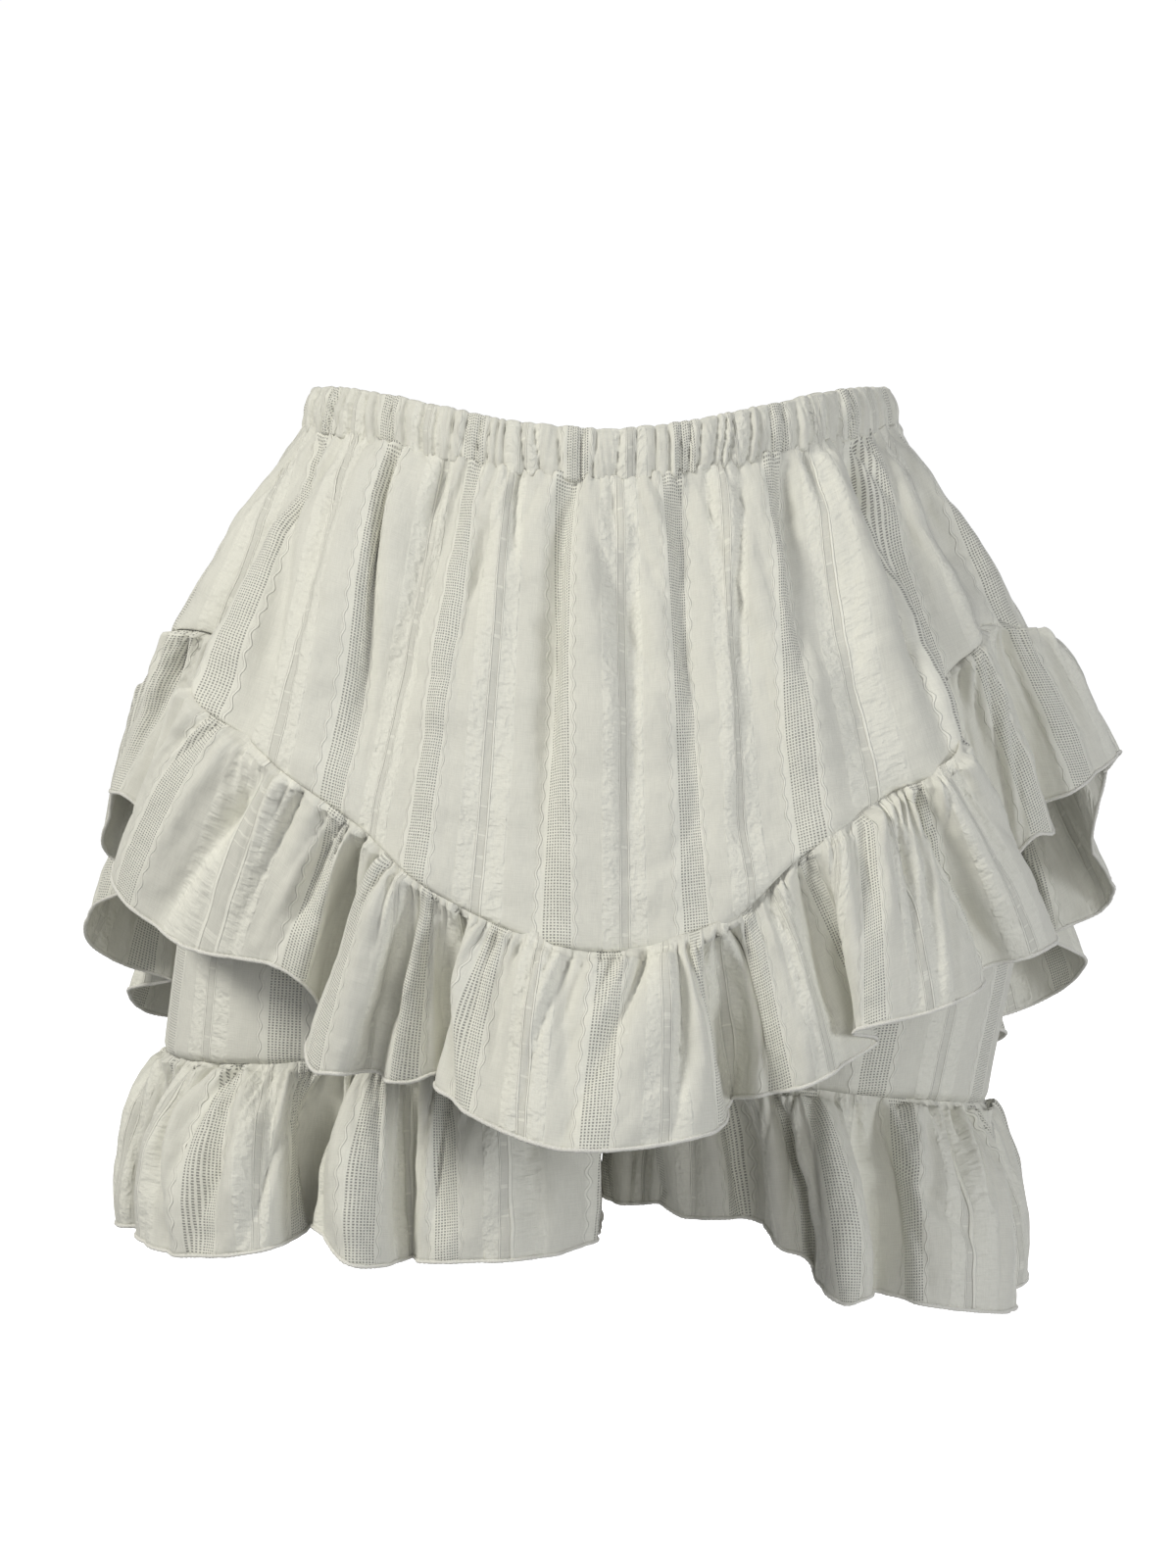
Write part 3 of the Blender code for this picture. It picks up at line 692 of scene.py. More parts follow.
def hem_line(folds, ring, ends=None):
    """The hem as rows of (way along it, x, y, z, how far out in mm), where the seam is
    held as (ways, angles), and the ways of the hem's ends. Without ends it is a loop."""
    points = fold_points(folds, ring, closed=ends is None)
    if ends:
        first, last = 0, len(points) + 1
        points = np.vstack([ends[0], points, ends[1]])
    else:
        first, last = LOOP_OVERLAP, LOOP_OVERLAP + len(points)
        turn = np.array([FULL_TURN, 0, 0, 0, 0])
        points = np.vstack([points[-LOOP_OVERLAP:] - turn, points, points[:LOOP_OVERLAP] + turn])
    steps = np.linalg.norm(np.diff(points[:, 1:4], axis=0), axis=1)
    way = np.concatenate([[0], np.cumsum(steps)])
    held = ~np.isnan(points[:, 0])
    hem = np.column_stack([way, points[:, 1:]])
    return hem, np.array([way[held], points[held, 0]]), way[first], way[last]


# %% Creases of the ruffles
# As the panels' creases, but their places and half widths are in millimetres of hem
CREASES_RUFFLE = (
    (30, 28, 0, 1, 5.5, 6, 0), (62, 55, 0, 0.95, 6, 6, 1),
    (92, 84, 0, 0.8, 4.5, 5, 0), (130, 118, 0, 1.1, -4, 6, 0),
    (156, 132, 0, 1.1, 6.5, 6, 1), (177, 180, 0, 0.9, 4, 6, 0),
    (197, 195, 0, 0.75, 6.5, 5, -2), (209, 207, 0, 1.2, -5.5, 6, 0),
    (222, 228, 0, 1.2, 7.5, 7, 3), (278, 276, 0, 1.2, -3.5, 8, 0),
    (317, 290, 0, 1.1, 3.5, 7, 0), (365, 388, 0, 1.2, 7, 6, 3),
    (377, 400, 0, 1.1, -3, 5, 0), (402, 413, 0, 0.9, 3.5, 5, 0),
    (419, 429, 0, 1.1, -2.5, 8, 0), (437, 444, 0, 1, 3.5, 5, 0),
    (465, 471, 0, 1, -2.5, 8, 0), (500, 482, 0, 1, 4, 7, 0),
    (540, 545, 0, 0.6, 3.5, 6, 0), (579, 594, 0, 1.3, 7.5, 6, -3),
    (629, 611, 0, 1, -3, 7, 0), (658, 680, 0, 1.1, 4.5, 5, 2),
    (671, 691, 0, 1.1, -4, 7, 0), (688, 692, 0, 0.45, 3.5, 3, 0),
    (712, 716, 0, 0.5, 3.5, 4, 0), (746, 772, 0, 1.05, 6, 5, 2),
    (776, 786, 0, 1.1, -4, 8, 0), (795, 788, 0, 0.6, 3.5, 4, 0),
    (826, 828, 0, 0.9, 4.5, 6, 0), (868, 872, 0, 0.8, 4, 6, 0),
    (915, 912, 0, 0.9, 4.5, 6, 0), (960, 958, 0, 0.7, 3.5, 5, 0),
)
CREASES_LEG = {
    "right": (
        (22, 40, 0, 1.1, 6, 6, 0), (31, 52, 0, 1.1, -4, 6, 0),
        (70, 65, 0, 1.1, 6, 6, 0), (79, 78, 0, 1.1, -4, 5, 0),
        (96, 90, 0, 1, 6, 6, 0), (124, 134, 0, 1.3, 7.5, 7, 2),
        (175, 190, 0, 1.2, -4, 9, 0), (209, 213, 0, 1.3, 6.5, 5, 0),
        (253, 249, 0, 0.9, 5.5, 5, 0), (265, 273, 0, 1.2, -3, 8, 0),
        (286, 287, 0, 1.1, 6, 7, 0), (884, 870, 0, 0.8, 3.5, 6, 0),
    ),
    "left": (
        (26, 26, 0, 1.2, 4.5, 7, 0), (58, 49, 0, 1.2, 5, 6, 0),
        (100, 98, 0, 1.2, 4, 6, 0), (140, 134, 0, 1.2, 4.5, 5, 0),
        (155, 148, 0, 1.2, -3.5, 9, 0), (190, 196, 0, 1.3, 7.5, 7, 0),
        (205, 210, 0, 0.6, -3.5, 6, 0), (217, 206, 0, 0.55, 3.5, 4, 0),
        (170, 266, 0.3, 0.75, 4, 6, 0), (240, 210, 0, 0.5, 3.5, 5, 0),
        (252, 236, 0, 0.5, 5.5, 3, -1), (229, 222, 0, 0.35, 4.5, 3, 0),
        (266, 254, 0, 0.32, 4, 3, 0), (178, 179, 0, 0.45, 3.5, 3, 0),
    ),
}
print(len(CREASES_RUFFLE), "creases on the front ruffle")

# %% Gathering a strip to its seam
TUCK = 0.0065  # how far a ruffle's top edge is above the place where it swings out
RUFFLE_ROWS = 46
GATHER_START = 0.0018  # how far below the seam the gathers stand out
FINE_GAP, MIDDLING_GAP, BROAD_GAP = 0.0052, 0.0115, 0.027  # metres between gathers


def hung_strip(hem, way, below, fall, spread):
    """The strip before its gathers, from its tuck behind the seam down to the hem, each
    row's share of the way down, and how far the folds stand out (mm)."""
    bottom = np.stack([smooth(hem, axis, way) for axis in (1, 2, 3)], axis=-1)
    # How far a fold stands out of the seven hem points round it
    level = np.convolve(np.pad(hem[:, 4], 3, "edge"), np.ones(7) / 7, "valid")
    fold = np.clip(smooth(hem, 4, way) - np.interp(way, hem[:, 0], level), -14, 14)
    share = np.concatenate([[-1, -0.5], np.linspace(0, 1, RUFFLE_ROWS) ** 1.3])[:, None]
    part = np.clip(share, 0, 1)
    outwards = 1 - (1 - part) ** spread
    weights = np.stack([outwards, outwards, part], axis=-1)
    above = np.clip(share, -1, 0)[..., None] * TUCK * fall[None]
    return below[None] + (bottom - below)[None] * weights + above, part, fold


def ruffle_gathers(seam_way, seam_loop, width, loop, down, fallen, seed):
    """The height (mm) of the gathers: two sizes that start from the seam's own length,
    and broad ones that are spread along the hem."""
    lean = down * 0.3 * wander(seam_way, 0.035, seed, seam_loop)
    fine = ridges(seam_way + lean, FINE_GAP, 0.6, seed + 1, seam_loop) - 0.45
    patchy = 0.65 + 0.45 * wander(seam_way, 0.024, seed + 6, seam_loop)
    middling = ridges(seam_way + 1.4 * lean, MIDDLING_GAP, 0.6, seed + 5, seam_loop) - 0.5
    broad = ridges(width + 1.5 * lean, BROAD_GAP, 0.55, seed + 2, loop) - 0.5
    return (
        8.5 * fine * patchy * between(fallen, GATHER_START, 0.012)
        + 8.0 * middling * between(fallen, GATHER_START, 0.026)
        + 8.0 * broad * between(fallen, GATHER_START, 0.070, 1.6)
    )


print("gathers", FINE_GAP / MM, MIDDLING_GAP / MM, "and", BROAD_GAP / MM, "mm apart")

# %% A whole ruffle
SEAM_ALLOWANCE = 0.003  # how far below the edge above it a ruffle starts to swing out
RUFFLE_STEP = 0.0015  # metres of hem from one thread of the net to the next
FOLD_BODY = 0.32  # how much fuller a fold is between seam and hem than a straight thread


def ruffle(
    name, folds, ring, edge_and_fall, spread, seed, ends=None, stripes=None, creases=(),
    pins=None,
):
    """A sheet from a seam down to its folded hem. edge_and_fall gives the seam's places
    and the way the cloth above runs down, at these angles."""
    hem, held, first, last = hem_line(folds, ring, ends)
    way = np.linspace(first, last, round((last - first) / RUFFLE_STEP))
    hem_way = way - first
    pins = held - [[first], [0]] if pins is None else pins
    edge, fall = edge_and_fall(np.interp(hem_way, *pins))
    below = edge + fall * SEAM_ALLOWANCE
    points, part, fold = hung_strip(hem, way, below, fall, spread)
    down = lengths(points, 0)
    width = hem_way + 0 * down
    loop = None if ends else float(last - first)
    seam_way = lengths(below[None], 1) + 0 * down
    seam_loop = None if ends else float(seam_way[0, -1])
    below_edge = down - TUCK + SEAM_ALLOWANCE
    fallen = np.maximum(below_edge, 0)
    sunk, drawn = creased(width / MM, part, creases, 1.0)
    height = (
        ruffle_gathers(seam_way, seam_loop, width, loop, down, fallen, seed)
        - sunk
        + FOLD_BODY * fold * np.sin(np.pi * part**0.6)
        + crumpled(width, down, seed + 3, loop) * ease(below_edge, 0.0, 0.01)
        - 2.2 * (1 - ease(below_edge, 0.0, 0.004))
    )
    points = raised(points, at_sides(height, width) if ends else height, drawn)
    if not ends:
        points[:, -1] = points[:, 0]
    sideways = hem_way if stripes is None else REPEAT * np.interp(hem_way, *stripes)
    print(name, "hem", round(float(last - first), 3), "m")
    return sheet(name, points, sideways, down, closed=not ends)


# %% The overskirt's ruffles
OVERSKIRT_SPREAD = 1.1  # how soon a ruffle leaves its seam outwards
# Stripes on the front ruffle: way along the hem (mm), number of repeats
STRIPES_RUFFLE = hem_table(
    (0, -5.4), (12, -5.2), (42, -4.75), (97, -4.25), (128, -3.75), (170, -3.45), (202, -3),
    (264, -2), (321, -1), (397, 0), (425, 0.5), (455, 1), (482, 1.5), (599, 3), (624, 3.5),
    (655, 4), (690, 5), (711, 5.5), (756, 6), (789, 6.5), (1010, 10),
)


def panel_edge(seam, flutes):
    """Where a panel ends, and which way its cloth runs down there, as a function."""

    def edge_and_fall(angle):
        edge = panel_base(angle, np.ones_like(angle), seam, flutes)
        above = panel_base(angle, np.full_like(angle, 0.8), seam, flutes)
        return edge, unit(edge - above)

    return edge_and_fall


def overskirt_ruffle(name, folds, start, stop, seam, flutes, seed, **by_hand):
    ends = []
    for angle in (start, stop):
        hem_angle, out, drop = SIDE_SEAM_HEMS[angle]
        ends.append((angle, *overskirt_ring(hem_angle, drop * MM, out * MM), out))
    edge = panel_edge(seam, flutes)
    return ruffle(name, folds, overskirt_ring, edge, OVERSKIRT_SPREAD, seed, ends, **by_hand)


# %% The front and the back ruffle
ruffle_front = overskirt_ruffle(
    "frill_front", FOLDS_FRONT, -SIDE_SEAM, SIDE_SEAM, SEAM_FRONT, FLUTES_FRONT, 51,
    stripes=STRIPES_RUFFLE, creases=CREASES_RUFFLE, pins=SEAM_PINS["front"],
)
ruffle_back = overskirt_ruffle(
    "frill_back", FOLDS_BACK, SIDE_SEAM, FULL_TURN - SIDE_SEAM, SEAM_BACK, FLUTES_BACK, 61
)

# %% [markdown]
# ## The shorts
#
# Each leg is cut from a front and a back. Above the crotch the two legs share
# one oval round the hips; below it each leg is an oval of its own. Only the
# lower part shows below the overskirt, but the inside shows from above and from
# below, so all of it is made. Three tubes could be joined with a boolean, but the
# crotch would come out ragged. Here the ovals of one table change bit by bit from
# the shared one to the leg's own, and each quarter is a net that reaches from its
# side seam to the middle.

# %% Shorts' shape
CENTRE_LAP = 0.0004  # how far each half reaches past the middle, so that they meet
SHORTS_EASE = 2


def leg_seam_drop(side, angle):
    """Angle from the leg's outer side: -90 outer, 0 front or back, 90 inner."""
    leg = LEGS[side]
    table = ((-90, leg["drop_outer"]), (0, leg["drop_front"]), (90, leg["drop_inner"]))
    return smooth(table, 1, angle)


def nominal_drop(leg):
    return (leg["drop_outer"] + leg["drop_inner"]) / 2


def shorts_points(side, back, level, share):
    """share 0 is at the side seam, and 1 at the centre seam or the inseam."""
    leg = LEGS[side]
    nominal = nominal_drop(leg)
    drop = np.minimum(level, nominal)
    table = (*SHORTS, (nominal, leg["outer"], leg["middle"], LEG_FRONT_DEPTH, LEG_BACK_DEPTH))
    outer, middle = smooth(table, 1, drop), smooth(table, 2, drop)
    depth = smooth(table, 4 if back else 3, drop)
    half_width = outer - middle
    reach = np.degrees(np.arcsin(np.minimum(1.0, (middle + CENTRE_LAP) / half_width)))
    angle = -90 + share * (reach + 90)
    flat = on_ring(angle, half_width, depth, 0.0)
    x, y = flat[..., 0] - middle, flat[..., 1] * (-1 if back else 1)
    fade = np.clip(1 - (drop - SHORTS[0][0]) / (CROTCH_DROP - SHORTS[0][0]), 0, 1)
    body_angle = np.degrees(np.arctan2(x / WAIST_HALF_WIDTH, -y / WAIST_HALF_DEPTH))
    top_shift = SEAM_GAP - casing_bottom(body_angle) - SHORTS[0][0]
    low = np.clip((drop - CROTCH_DROP) / (nominal - CROTCH_DROP), 0, 1)
    bottom_shift = leg_seam_drop(side, angle) - nominal
    z = -(drop + top_shift * fade**SHORTS_EASE + bottom_shift * low**SHORTS_EASE)
    return np.stack([x if side == "right" else -x, y, z], axis=-1)


# %% The four pieces of the shorts
SHORTS_COLUMNS, SHORTS_ROWS = 56, 76


def shorts_piece(side, back, seed):
    level = np.linspace(SHORTS[0][0], nominal_drop(LEGS[side]), SHORTS_ROWS)[:, None]
    share = np.linspace(0, 1, SHORTS_COLUMNS)[None, :]
    if (side == "right") == back:
        share = share[:, ::-1]
    points = shorts_points(side, back, level, share)
    along, down = lengths(points, 1), lengths(points, 0)
    width = along[SHORTS_ROWS // 2][None, :] + 0 * down
    low = down[-1:] - down
    gathers = ridges(width + 0.2 * down * wander(width, 0.05, seed), 0.016, 0.5, seed + 1) - 0.5
    height = (
        2.0 * gathers * (np.exp(-down / 0.03) + 0.8 * np.exp(-low / 0.02))
        + 1.2 * wander(width, 0.035, seed + 2)
        # Pulled in under the waist, clear of the overskirt's creases
        - 4.5 * np.exp(-(((down - 0.026) / 0.020) ** 2))
    )
    height = at_sides(height, along, 1.5 * (share < 0.5)) - 1.5 * np.exp(-low / EDGE_TURN)
    name = f"leg_{'back' if back else 'front'}_{side}"
    return sheet(name, raised(points, height), width + 0.02 * (seed % 3), down)


shorts = {}
for number, (side, back) in enumerate([(s, b) for s in LEGS for b in (False, True)]):
    shorts[side, back] = shorts_piece(side, back, 71 + 3 * number)
print("shorts of", len(shorts), "pieces")

# %% Stripes and rings of the leg ruffles
# Stripes on each leg's ruffle: way along the hem (mm), number of repeats
STRIPES_LEG = {
    "right": hem_table(
        (0, -2.83), (19, -2.5), (63, -2), (90, -1.5), (117, -1), (161, -0.5), (195, 0),
        (253, 1), (273, 1.5), (337, 2), (912.4, 12.17),
    ),
    "left": hem_table(
        (0, -0.04), (50, 1), (106.5, 2), (150, 3), (202, 4), (228, 4.5), (285, 5),
        (825.6, 13.96),
    ),
}


def leg_oval(side):
    """A leg's half width, and the x of its middle."""
    outer, middle = LEGS[side]["outer"], LEGS[side]["middle"]
    return outer - middle, -middle if side == "right" else middle


def leg_ring(side):
    half_width, middle = leg_oval(side)

    def ring(angle, drop, out):
        depth = np.where(is_back(angle), LEG_BACK_DEPTH, LEG_FRONT_DEPTH)
        return on_ring(angle, half_width + out, depth + out, -drop, middle)

    return ring


# %% Where a leg's cloth ends
LEG_STEPS = 40
LEG_FALL = 0.035  # the way down a leg is measured from this far below the crotch


def leg_edge(side):
    """Where a leg's cloth ends, and which way it runs down there, as a function."""
    half_width, middle = leg_oval(side)
    share = np.linspace(0, 1, LEG_STEPS)
    angles, edges, falls = [], [], []
    for back in (False, True):
        depth = LEG_BACK_DEPTH if back else LEG_FRONT_DEPTH
        edge, above = (
            shorts_points(side, back, np.full_like(share, level), share)
            for level in (1.0, CROTCH_DROP + LEG_FALL)
        )
        turn = np.arctan2((edge[:, 0] - middle) / half_width, -edge[:, 1] / depth)
        angles.extend(np.degrees(turn))
        edges.extend(edge)
        falls.extend(unit(edge - above))

    def edge_and_fall(angle):
        read = [
            [np.interp(angle, angles, column, period=FULL_TURN) for column in np.array(rows).T]
            for rows in (edges, falls)
        ]
        return tuple(np.stack(columns, axis=-1) for columns in read)

    return edge_and_fall


# %% The ruffles round the legs
LEG_SPREAD = 2.2  # these leave their seams sooner
leg_ruffles = {}
for side, folds, seed in (("right", FOLDS_LEG_RIGHT, 91), ("left", FOLDS_LEG_LEFT, 101)):
    leg_ruffles[side] = ruffle(
        f"frill_leg_{side}", folds, leg_ring(side), leg_edge(side), LEG_SPREAD, seed,
        stripes=STRIPES_LEG[side], creases=CREASES_LEG[side], pins=SEAM_PINS[side],
    )

# %% [markdown]
# ## Overlocked hems
#
# Every ruffle's edge is finished on an overlock machine. Its threads wrap the raw
# edge in a soft, slightly fuzzy cord not quite 2 mm thick. A curve with a round
# bevel could stand for it, but it would be smooth, and it would turn about itself
# in the folds. Here an eight-sided ring runs along the lowest row of the net, set
# square to the cloth, and swells a little with each stitch.

# %% Cords along the hems
CORD_RADIUS = 0.0009
CORD_STEP = 0.0011
CORD_SIDES = 8
STITCH = 0.0024  # metres of hem for each stitch


def overlock(frill, closed, seed):
    """A corded edge along the lowest row of a ruffle's net."""
    ruffle_points, _ = nets[frill.name]
    edge = ruffle_points[-1]
    way = lengths(edge[None], 1)[0]
    columns = round(float(way[-1]) / CORD_STEP)
    here = np.linspace(0, way[-1], columns)
    middle = np.stack([np.interp(here, way, column) for column in edge.T], axis=-1)
    normal = across(ruffle_points)[-1]
    out = np.stack([np.interp(here, way, column) for column in normal.T], axis=-1)
    aside = unit(np.cross(np.gradient(middle, axis=0), out))
    turn = np.radians(np.linspace(0, FULL_TURN, CORD_SIDES + 1))[:, None]
    twist = np.sin(np.pi * here / STITCH + turn / 2) ** 2
    loose = 1 + 0.14 * wander(here, 0.004, seed)
    radius = CORD_RADIUS * loose * (0.82 + 0.3 * twist)
    points = middle + (np.cos(turn) * radius)[..., None] * out
    points = points - (np.sin(turn) * radius)[..., None] * aside
    points[-1] = points[0]
    if closed:
        points[:, -1] = points[:, 0]
    name = frill.name.replace("frill", "hem")
    return sheet(name, points, here, turn * CORD_RADIUS, closed=True)


hems = {frill: overlock(frill, False, 111) for frill in (ruffle_front, ruffle_back)}
hems |= {frill: overlock(frill, True, 113) for frill in leg_ruffles.values()}
print(len(hems), "corded hems")

# %% [markdown]
# ## Walls
#
# A net has no thickness. A second net could be laid inside each one, but then their
# edges would have to be joined by hand. The Solidify modifier does both: it grows
# each net inwards to the thickness of two threads, with its edges closed. The
# casing's net and the cords go round a wall by themselves, and stay as they are.

# %% Thickness of the cloth
CLOTH_THICKNESS = 0.00045

pieces_of = {
    "waistband": [casing_piece],
    "overskirt": [panel_front, panel_back],
    "ruffle": [ruffle_front, ruffle_back, *leg_ruffles.values()],
    "shorts": list(shorts.values()),
}
for slot in ("overskirt", "ruffle", "shorts"):
    for piece in pieces_of[slot]:
        wall = piece.modifiers.new("cloth thickness", "SOLIDIFY")
        wall.thickness = CLOTH_THICKNESS
        wall.offset = -1.0
print("walls of", CLOTH_THICKNESS / MM, "mm")

# %% [markdown]
# ## The cotton
#
# The stripes are woven, not printed. Going across one repeat there is a band of
# square holes, a wavy cord, plain open cloth that looks greyer because less
# thread lies in it, a dense crinkled white band, and a ladder of bare weft
# between two straight cords. Holes in the mesh would take a million faces and more,
# and an image would blur close up. So all of it is worked out from the UV map, which
# is in metres of cloth, and the stripes run with the threads. Heights drive a
# bump, and the amount of thread drives the tone. The holes, though, are painted
# dark: that is painted shade, for the dim inside seen through them. A node's
# output is wrapped in a small class here, so that sums of such outputs can be
# written as plain arithmetic.

# %% A node's output as a value


class Field:
    """A node's output: a value at each place on the cloth. Arithmetic adds nodes."""

    def __init__(self, tree, socket):
        self.tree, self.socket = tree, socket

    def maths(self, operation, *others):
        return add(self.tree, "ShaderNodeMath", self, *others, operation=operation)

    def __add__(self, other):
        return self.maths("ADD", other)

    def __sub__(self, other):
        return self.maths("SUBTRACT", other)

    def __mul__(self, other):
        return self.maths("MULTIPLY", other)

    def __truediv__(self, other):
        return self.maths("DIVIDE", other)

    def __abs__(self):
        return self.maths("ABSOLUTE")

    __radd__ = __add__

    def rise(self, start, stop, low=0.0, high=1.0):
        """low before start and high after stop, with a smooth step between."""
        return add(
            self.tree, "ShaderNodeMapRange", self, start, stop, low, high,
            interpolation_type="SMOOTHSTEP",
        )

    def fall(self, start, stop):
        return self.rise(start, stop, 1.0, 0.0)

    def band(self, start, stop, soft):
        """1 between start and stop, and 0 outside."""
        return self.rise(start - soft, start + soft) * self.fall(stop - soft, stop + soft)


# %% Adding nodes


def feed(node, inputs):
    """Links or sets a node's inputs, by name or by number."""
    for key, value in inputs.items():
        if isinstance(value, Field):
            value.tree.links.new(value.socket, node.inputs[key])
        else:
            node.inputs[key].default_value = value


def add(tree, kind, *values, inputs=None, **settings):
    """A node of this kind, with its inputs given in order or by name."""
    node = tree.nodes.new(kind)
    for name, value in settings.items():
        setattr(node, name, value)
    feed(node, inputs or dict(enumerate(values)))
    return Field(tree, node.outputs[0])


def cloth_noise(uv, sideways, down, detail=2.0):
    """Noise between 0 and 1 on the cloth, with its own scale (per metre) each way."""
    scale = (sideways, down, 1.0)
    scaled = add(uv.tree, "ShaderNodeVectorMath", uv, scale, operation="MULTIPLY")
    inputs = {"Vector": scaled, "Scale": 1.0, "Detail": detail}
    return add(uv.tree, "ShaderNodeTexNoise", inputs=inputs)


# %% Starting and finishing a material


def plain_material(name):
    """A new material, and its node tree."""
    material = bpy.data.materials.new(name)
    material.use_nodes = True
    return material, material.node_tree


def finish(tree, colour, height, depth, values):
    """Gives a shader its colour, a bump that is depth metres deep, and its values."""
    bump = add(tree, "ShaderNodeBump", inputs={"Distance": depth, "Height": height})
    feed(tree.nodes["Principled BSDF"], {"Base Color": colour, "Normal": bump, **values})


# %% Sizes of the weave
WHITE = (0.81, 0.805, 0.73)
# Millimetres across a repeat, from the middle of the openwork or of the ladder
OPENWORK_HALF = 6.45
HOLE_ACROSS, HOLE_DOWN = 1.39, 1.23
WAVY_CORDS = (8.0, -9.4)
WAVE_LENGTH, WAVE_REACH = 9.2, 0.65
OPEN_BANDS = ((8.7, 19.5), (-21.7, -10.0))
DENSE_BANDS = ((-11.5, -3.5), (1.6, 8.8))
LADDER = (-2.55, 0.65)
LADDER_CORDS = (-3.0, 1.1)
print("openwork", 2 * OPENWORK_HALF, "mm wide in each", REPEAT / MM, "mm")

# %% Woven cotton


def woven_cotton(name):
    material, tree = plain_material(name)
    uv = add(tree, "ShaderNodeUVMap", uv_map="cloth")
    split = add(tree, "ShaderNodeSeparateXYZ", uv).socket.node.outputs
    repeats = Field(tree, split[0]) / REPEAT
    down = Field(tree, split[1]) / MM
    shift = cloth_noise(uv, 60, 35) * 1.2 - 0.6

    def from_middle(offset):
        return ((repeats + offset).maths("FRACT") - 0.5) * (REPEAT / MM) + shift

    near, far = from_middle(0.5), from_middle(0.0)

    # Openwork: square holes between threads. Their darkness in the tone below is painted shade of
    # the dim inside seen through them
    openwork = abs(near).fall(OPENWORK_HALF - 0.1, OPENWORK_HALF + 0.2)
    uneven = cloth_noise(uv, 900, 900, 0.0) * 0.14 - 0.07
    holes = openwork
    for place, pitch in ((near, HOLE_ACROSS), (down, HOLE_DOWN)):
        apart = abs((place / pitch + 0.5).maths("FRACT") - 0.5)
        holes = holes * (apart + uneven).fall(0.19, 0.29)

    # Raised cords
    wave = ((down + shift) * (2 * math.pi / WAVE_LENGTH)).maths("SINE") * WAVE_REACH
    cord = sum(abs(near - (wave + place)).fall(0.3, 0.6) for place in WAVY_CORDS)
    cord = cord + sum(abs(far - place).fall(0.25, 0.55) for place in LADDER_CORDS)

    # Bands of open and of dense cloth, and the ladder
    open_cloth = sum(near.band(*ends, 0.5) for ends in OPEN_BANDS)
    dense = sum(far.band(*ends, 0.4) for ends in DENSE_BANDS)
    ladder = far.band(*LADDER, 0.2)
    bare = ladder * cloth_noise(uv, 25, 420, 1.0).fall(0.62, 0.68)

    # The weave itself: threads both ways, with thicker places
    weave = cloth_noise(uv, 2600, 160) + cloth_noise(uv, 160, 2600)
    crinkle = cloth_noise(uv, 330, 520, 2.5)
    embossed = abs(cloth_noise(uv, 130, 150, 2.5) - 0.5)
    puckers = cloth_noise(uv, 120, 70)
    cloudy = cloth_noise(uv, 45, 30)

    tone = weave * 0.16 + cloudy * 0.12 + openwork * 0.04 + cord * 0.09 + 0.78
    # Painted shade: the holes are darkened in the colour, for the dim inside that shows through
    # them
    tone = tone - open_cloth * 0.085 - bare * 0.15 - holes * 0.62
    colour = add(
        tree, "ShaderNodeVectorMath", inputs={0: WHITE, "Scale": tone}, operation="SCALE"
    )
    height = cord * 0.55 - holes * 0.30 - ladder * 0.12 + dense * (crinkle * 0.6 - embossed * 2.3)
    height = height + puckers * 1.3 + weave * 0.13 + cloudy * 0.25
    finish(tree, colour, height, MM, {
        "Roughness": 0.88, "Sheen Weight": 0.2, "Sheen Roughness": 0.55,
        "Specular IOR Level": 0.25,
    })
    print(name, "of", len(tree.nodes), "nodes")
    return material


# %% Thread of the hems
THREAD_TONES = ((0.3, (0.70, 0.69, 0.64, 1)), (0.62, (0.90, 0.89, 0.83, 1)))


def hem_thread(name):
    material, tree = plain_material(name)
    fuzz = cloth_noise(add(tree, "ShaderNodeUVMap", uv_map="cloth"), 1900, 2400, 3.0)
    colour = add(tree, "ShaderNodeValToRGB", fuzz)
    for element, tone in zip(colour.socket.node.color_ramp.elements, THREAD_TONES):
        element.position, element.color = tone
    finish(tree, colour, fuzz, 0.4 * MM, {"Roughness": 0.9, "Sheen Weight": 0.3})
    return material


# %% Materials on the pieces
for slot, pieces in pieces_of.items():
    cotton = woven_cotton(f"{slot}_cotton")
    for piece in pieces:
        piece.data.materials.append(cotton)
thread = hem_thread("hem_thread")
for hem in hems.values():
    hem.data.materials.append(thread)
print("finished", list(pieces_of))

# %% [markdown]
# ## What each piece stands for
#
# The imported model keeps its plain walls for collision. Each sheet takes the
# place of one of them, which is hidden, and rides on the only body.

# %% Places
STANDS_FOR = {
    casing_piece: "waistband",
    panel_front: "overskirt_front",
    panel_back: "overskirt_back",
    ruffle_front: "ruffle_front",
    ruffle_back: "ruffle_back",
}
STANDS_FOR |= {piece: f"leg_ruffle_{side}" for side, piece in leg_ruffles.items()}
STANDS_FOR |= {
    piece: f"shorts_{'back' if back else 'front'}_{side}" for (side, back), piece in shorts.items()
}


for piece, solid in STANDS_FOR.items():
    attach(piece, "root")
    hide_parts(solid)
    on_it = [hems[piece]] if piece in hems else []
for hem in hems.values():
    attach(hem, "root")

# %% [markdown]
# ## Floor, light and camera
#
# The garment is shown filled out, above a plain pale studio floor. Four soft
# lamps light it. The strong key lamp stands in front, up and to the left, and
# comes from the side enough to draw the folds. A weak one in front and a low one
# at the right fill their shadows, and one behind lights the back. The camera
# looks from the front, a little from above.

# %% Floor
FLOOR_DROP = 0.62
FLOOR_RADIUS = 9.0


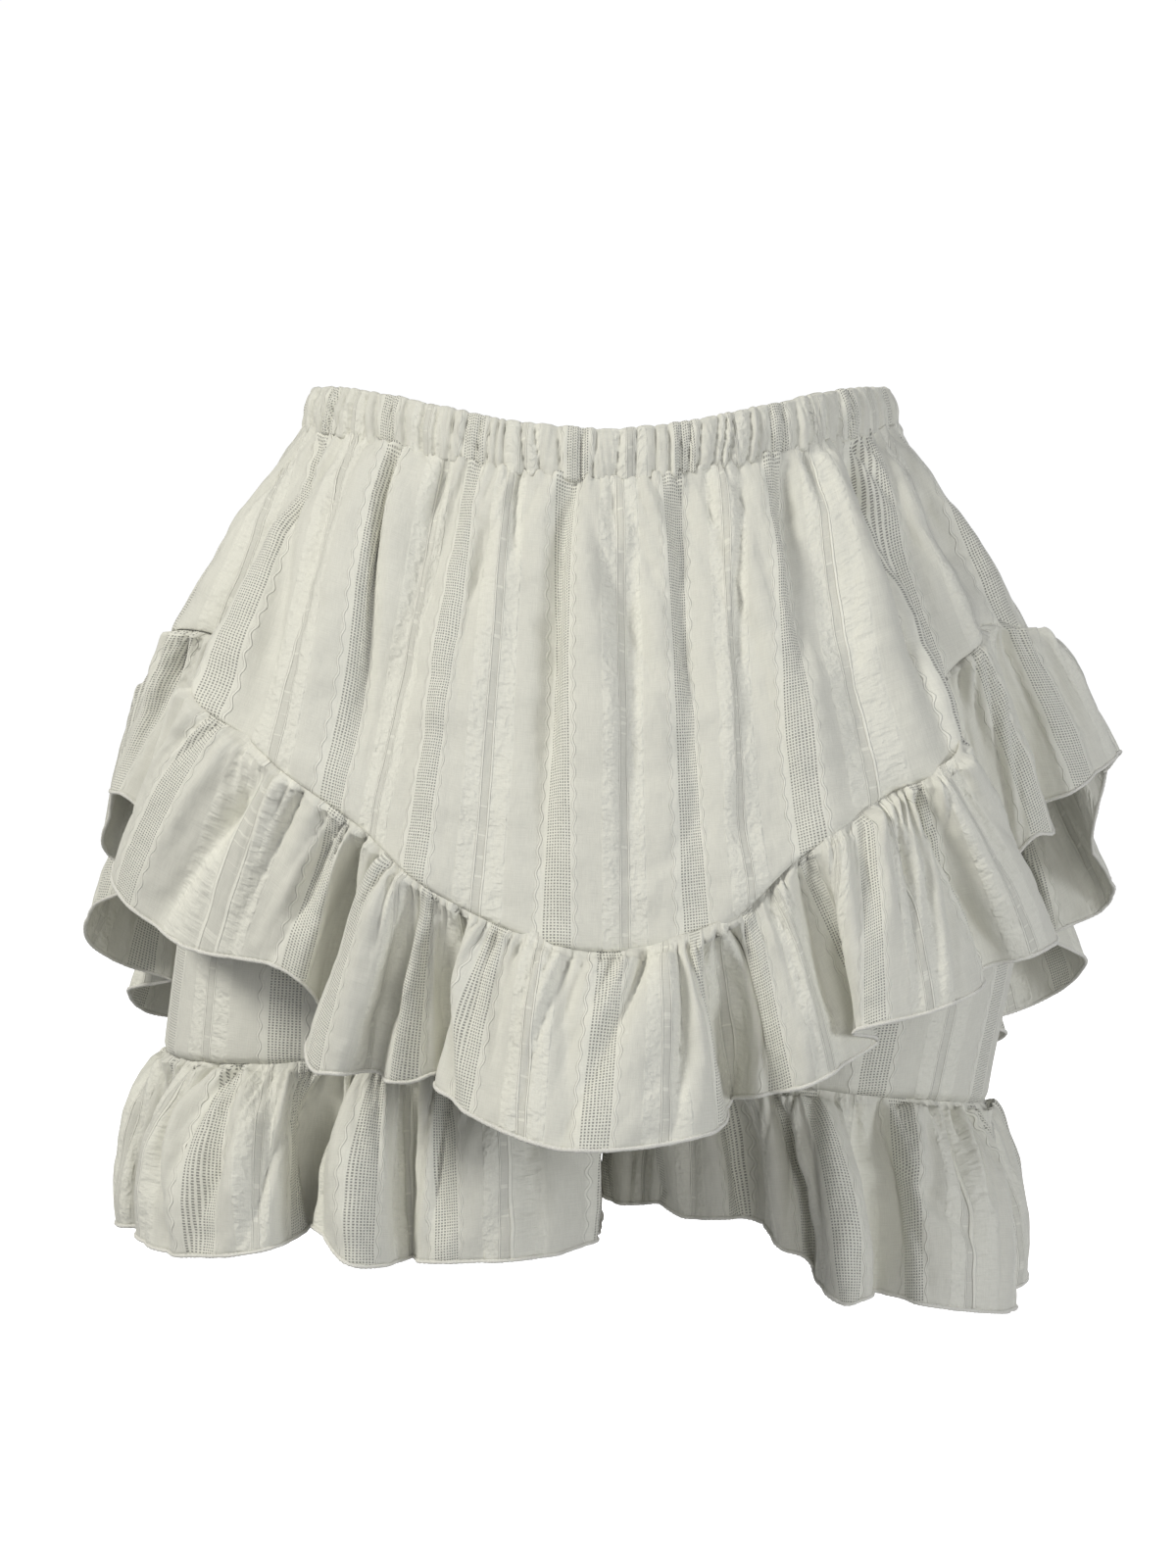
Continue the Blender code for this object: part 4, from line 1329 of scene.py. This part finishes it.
def studio_floor():
    net = bmesh.new()
    bmesh.ops.create_circle(net, cap_ends=True, segments=96, radius=FLOOR_RADIUS)
    bmesh.ops.translate(net, verts=net.verts, vec=(0, 0, -FLOOR_DROP))
    floor = mesh_piece("floor", net)
    material, tree = plain_material("pale_floor")
    feed(tree.nodes["Principled BSDF"], {
        "Base Color": (0.92, 0.92, 0.92, 1), "Roughness": 0.9,
        "Emission Color": (1, 1, 1, 1), "Emission Strength": 0.9,
    })
    floor.data.materials.append(material)
    floor.visible_diffuse = False
    print("floor", FLOOR_DROP, "m below the waist")


studio_floor()

# %% Light
MIDDLE = Vector((-0.0056, 0.0, -0.1715))
# Name, place, size, power and colour
LAMPS = (
    ("key", (-1.85, -1.25, 1.35), 0.8, 44, (1.0, 0.98, 0.91)),
    ("front", (0.7, -2.5, 0.15), 0.8, 10, (1.0, 0.99, 0.96)),
    ("low right", (2.1, -1.5, -0.2), 0.6, 16, (0.95, 0.97, 1.0)),
    ("behind", (0.9, 2.4, 0.9), 0.8, 24, (0.98, 0.99, 1.0)),
)
for name, place, size, power, colour in LAMPS:
    lamp = bpy.data.lights.new(name, "AREA")
    lamp.shape = "DISK"
    lamp.size, lamp.energy, lamp.color = size, power, colour
    stand = placed(name, lamp)
    stand.location = place
    stand.rotation_euler = (MIDDLE - stand.location).to_track_quat("-Z", "Y").to_euler()
print(len(LAMPS), "lamps")

# The studio's walls shine less on the cloth than they show behind it
world = bpy.data.worlds.new("pale studio")
bpy.context.scene.world = world
world.use_nodes = True
strength = add(world.node_tree, "ShaderNodeLightPath") * 0.80 + 0.24
feed(world.node_tree.nodes["Background"], {"Strength": strength, "Color": (0.985, 0.99, 1.0, 1)})
bpy.context.scene.view_settings.view_transform = "Standard"

# %% Camera
CAMERA_DISTANCE = 1.5
CAMERA_ABOVE = math.radians(4)
LENS, SENSOR_WIDTH = 100.8, 36

camera = bpy.data.cameras.new("camera")
camera.lens = LENS
camera.sensor_fit = "HORIZONTAL"
camera.sensor_width = SENSOR_WIDTH
stand = placed("camera", camera)
back, up = -CAMERA_DISTANCE * math.cos(CAMERA_ABOVE), CAMERA_DISTANCE * math.sin(CAMERA_ABOVE)
stand.location = MIDDLE + Vector((0, back, up))
stand.rotation_euler = (math.pi / 2 - CAMERA_ABOVE, 0, 0)
bpy.context.scene.camera = stand
print("camera at", list(stand.location))
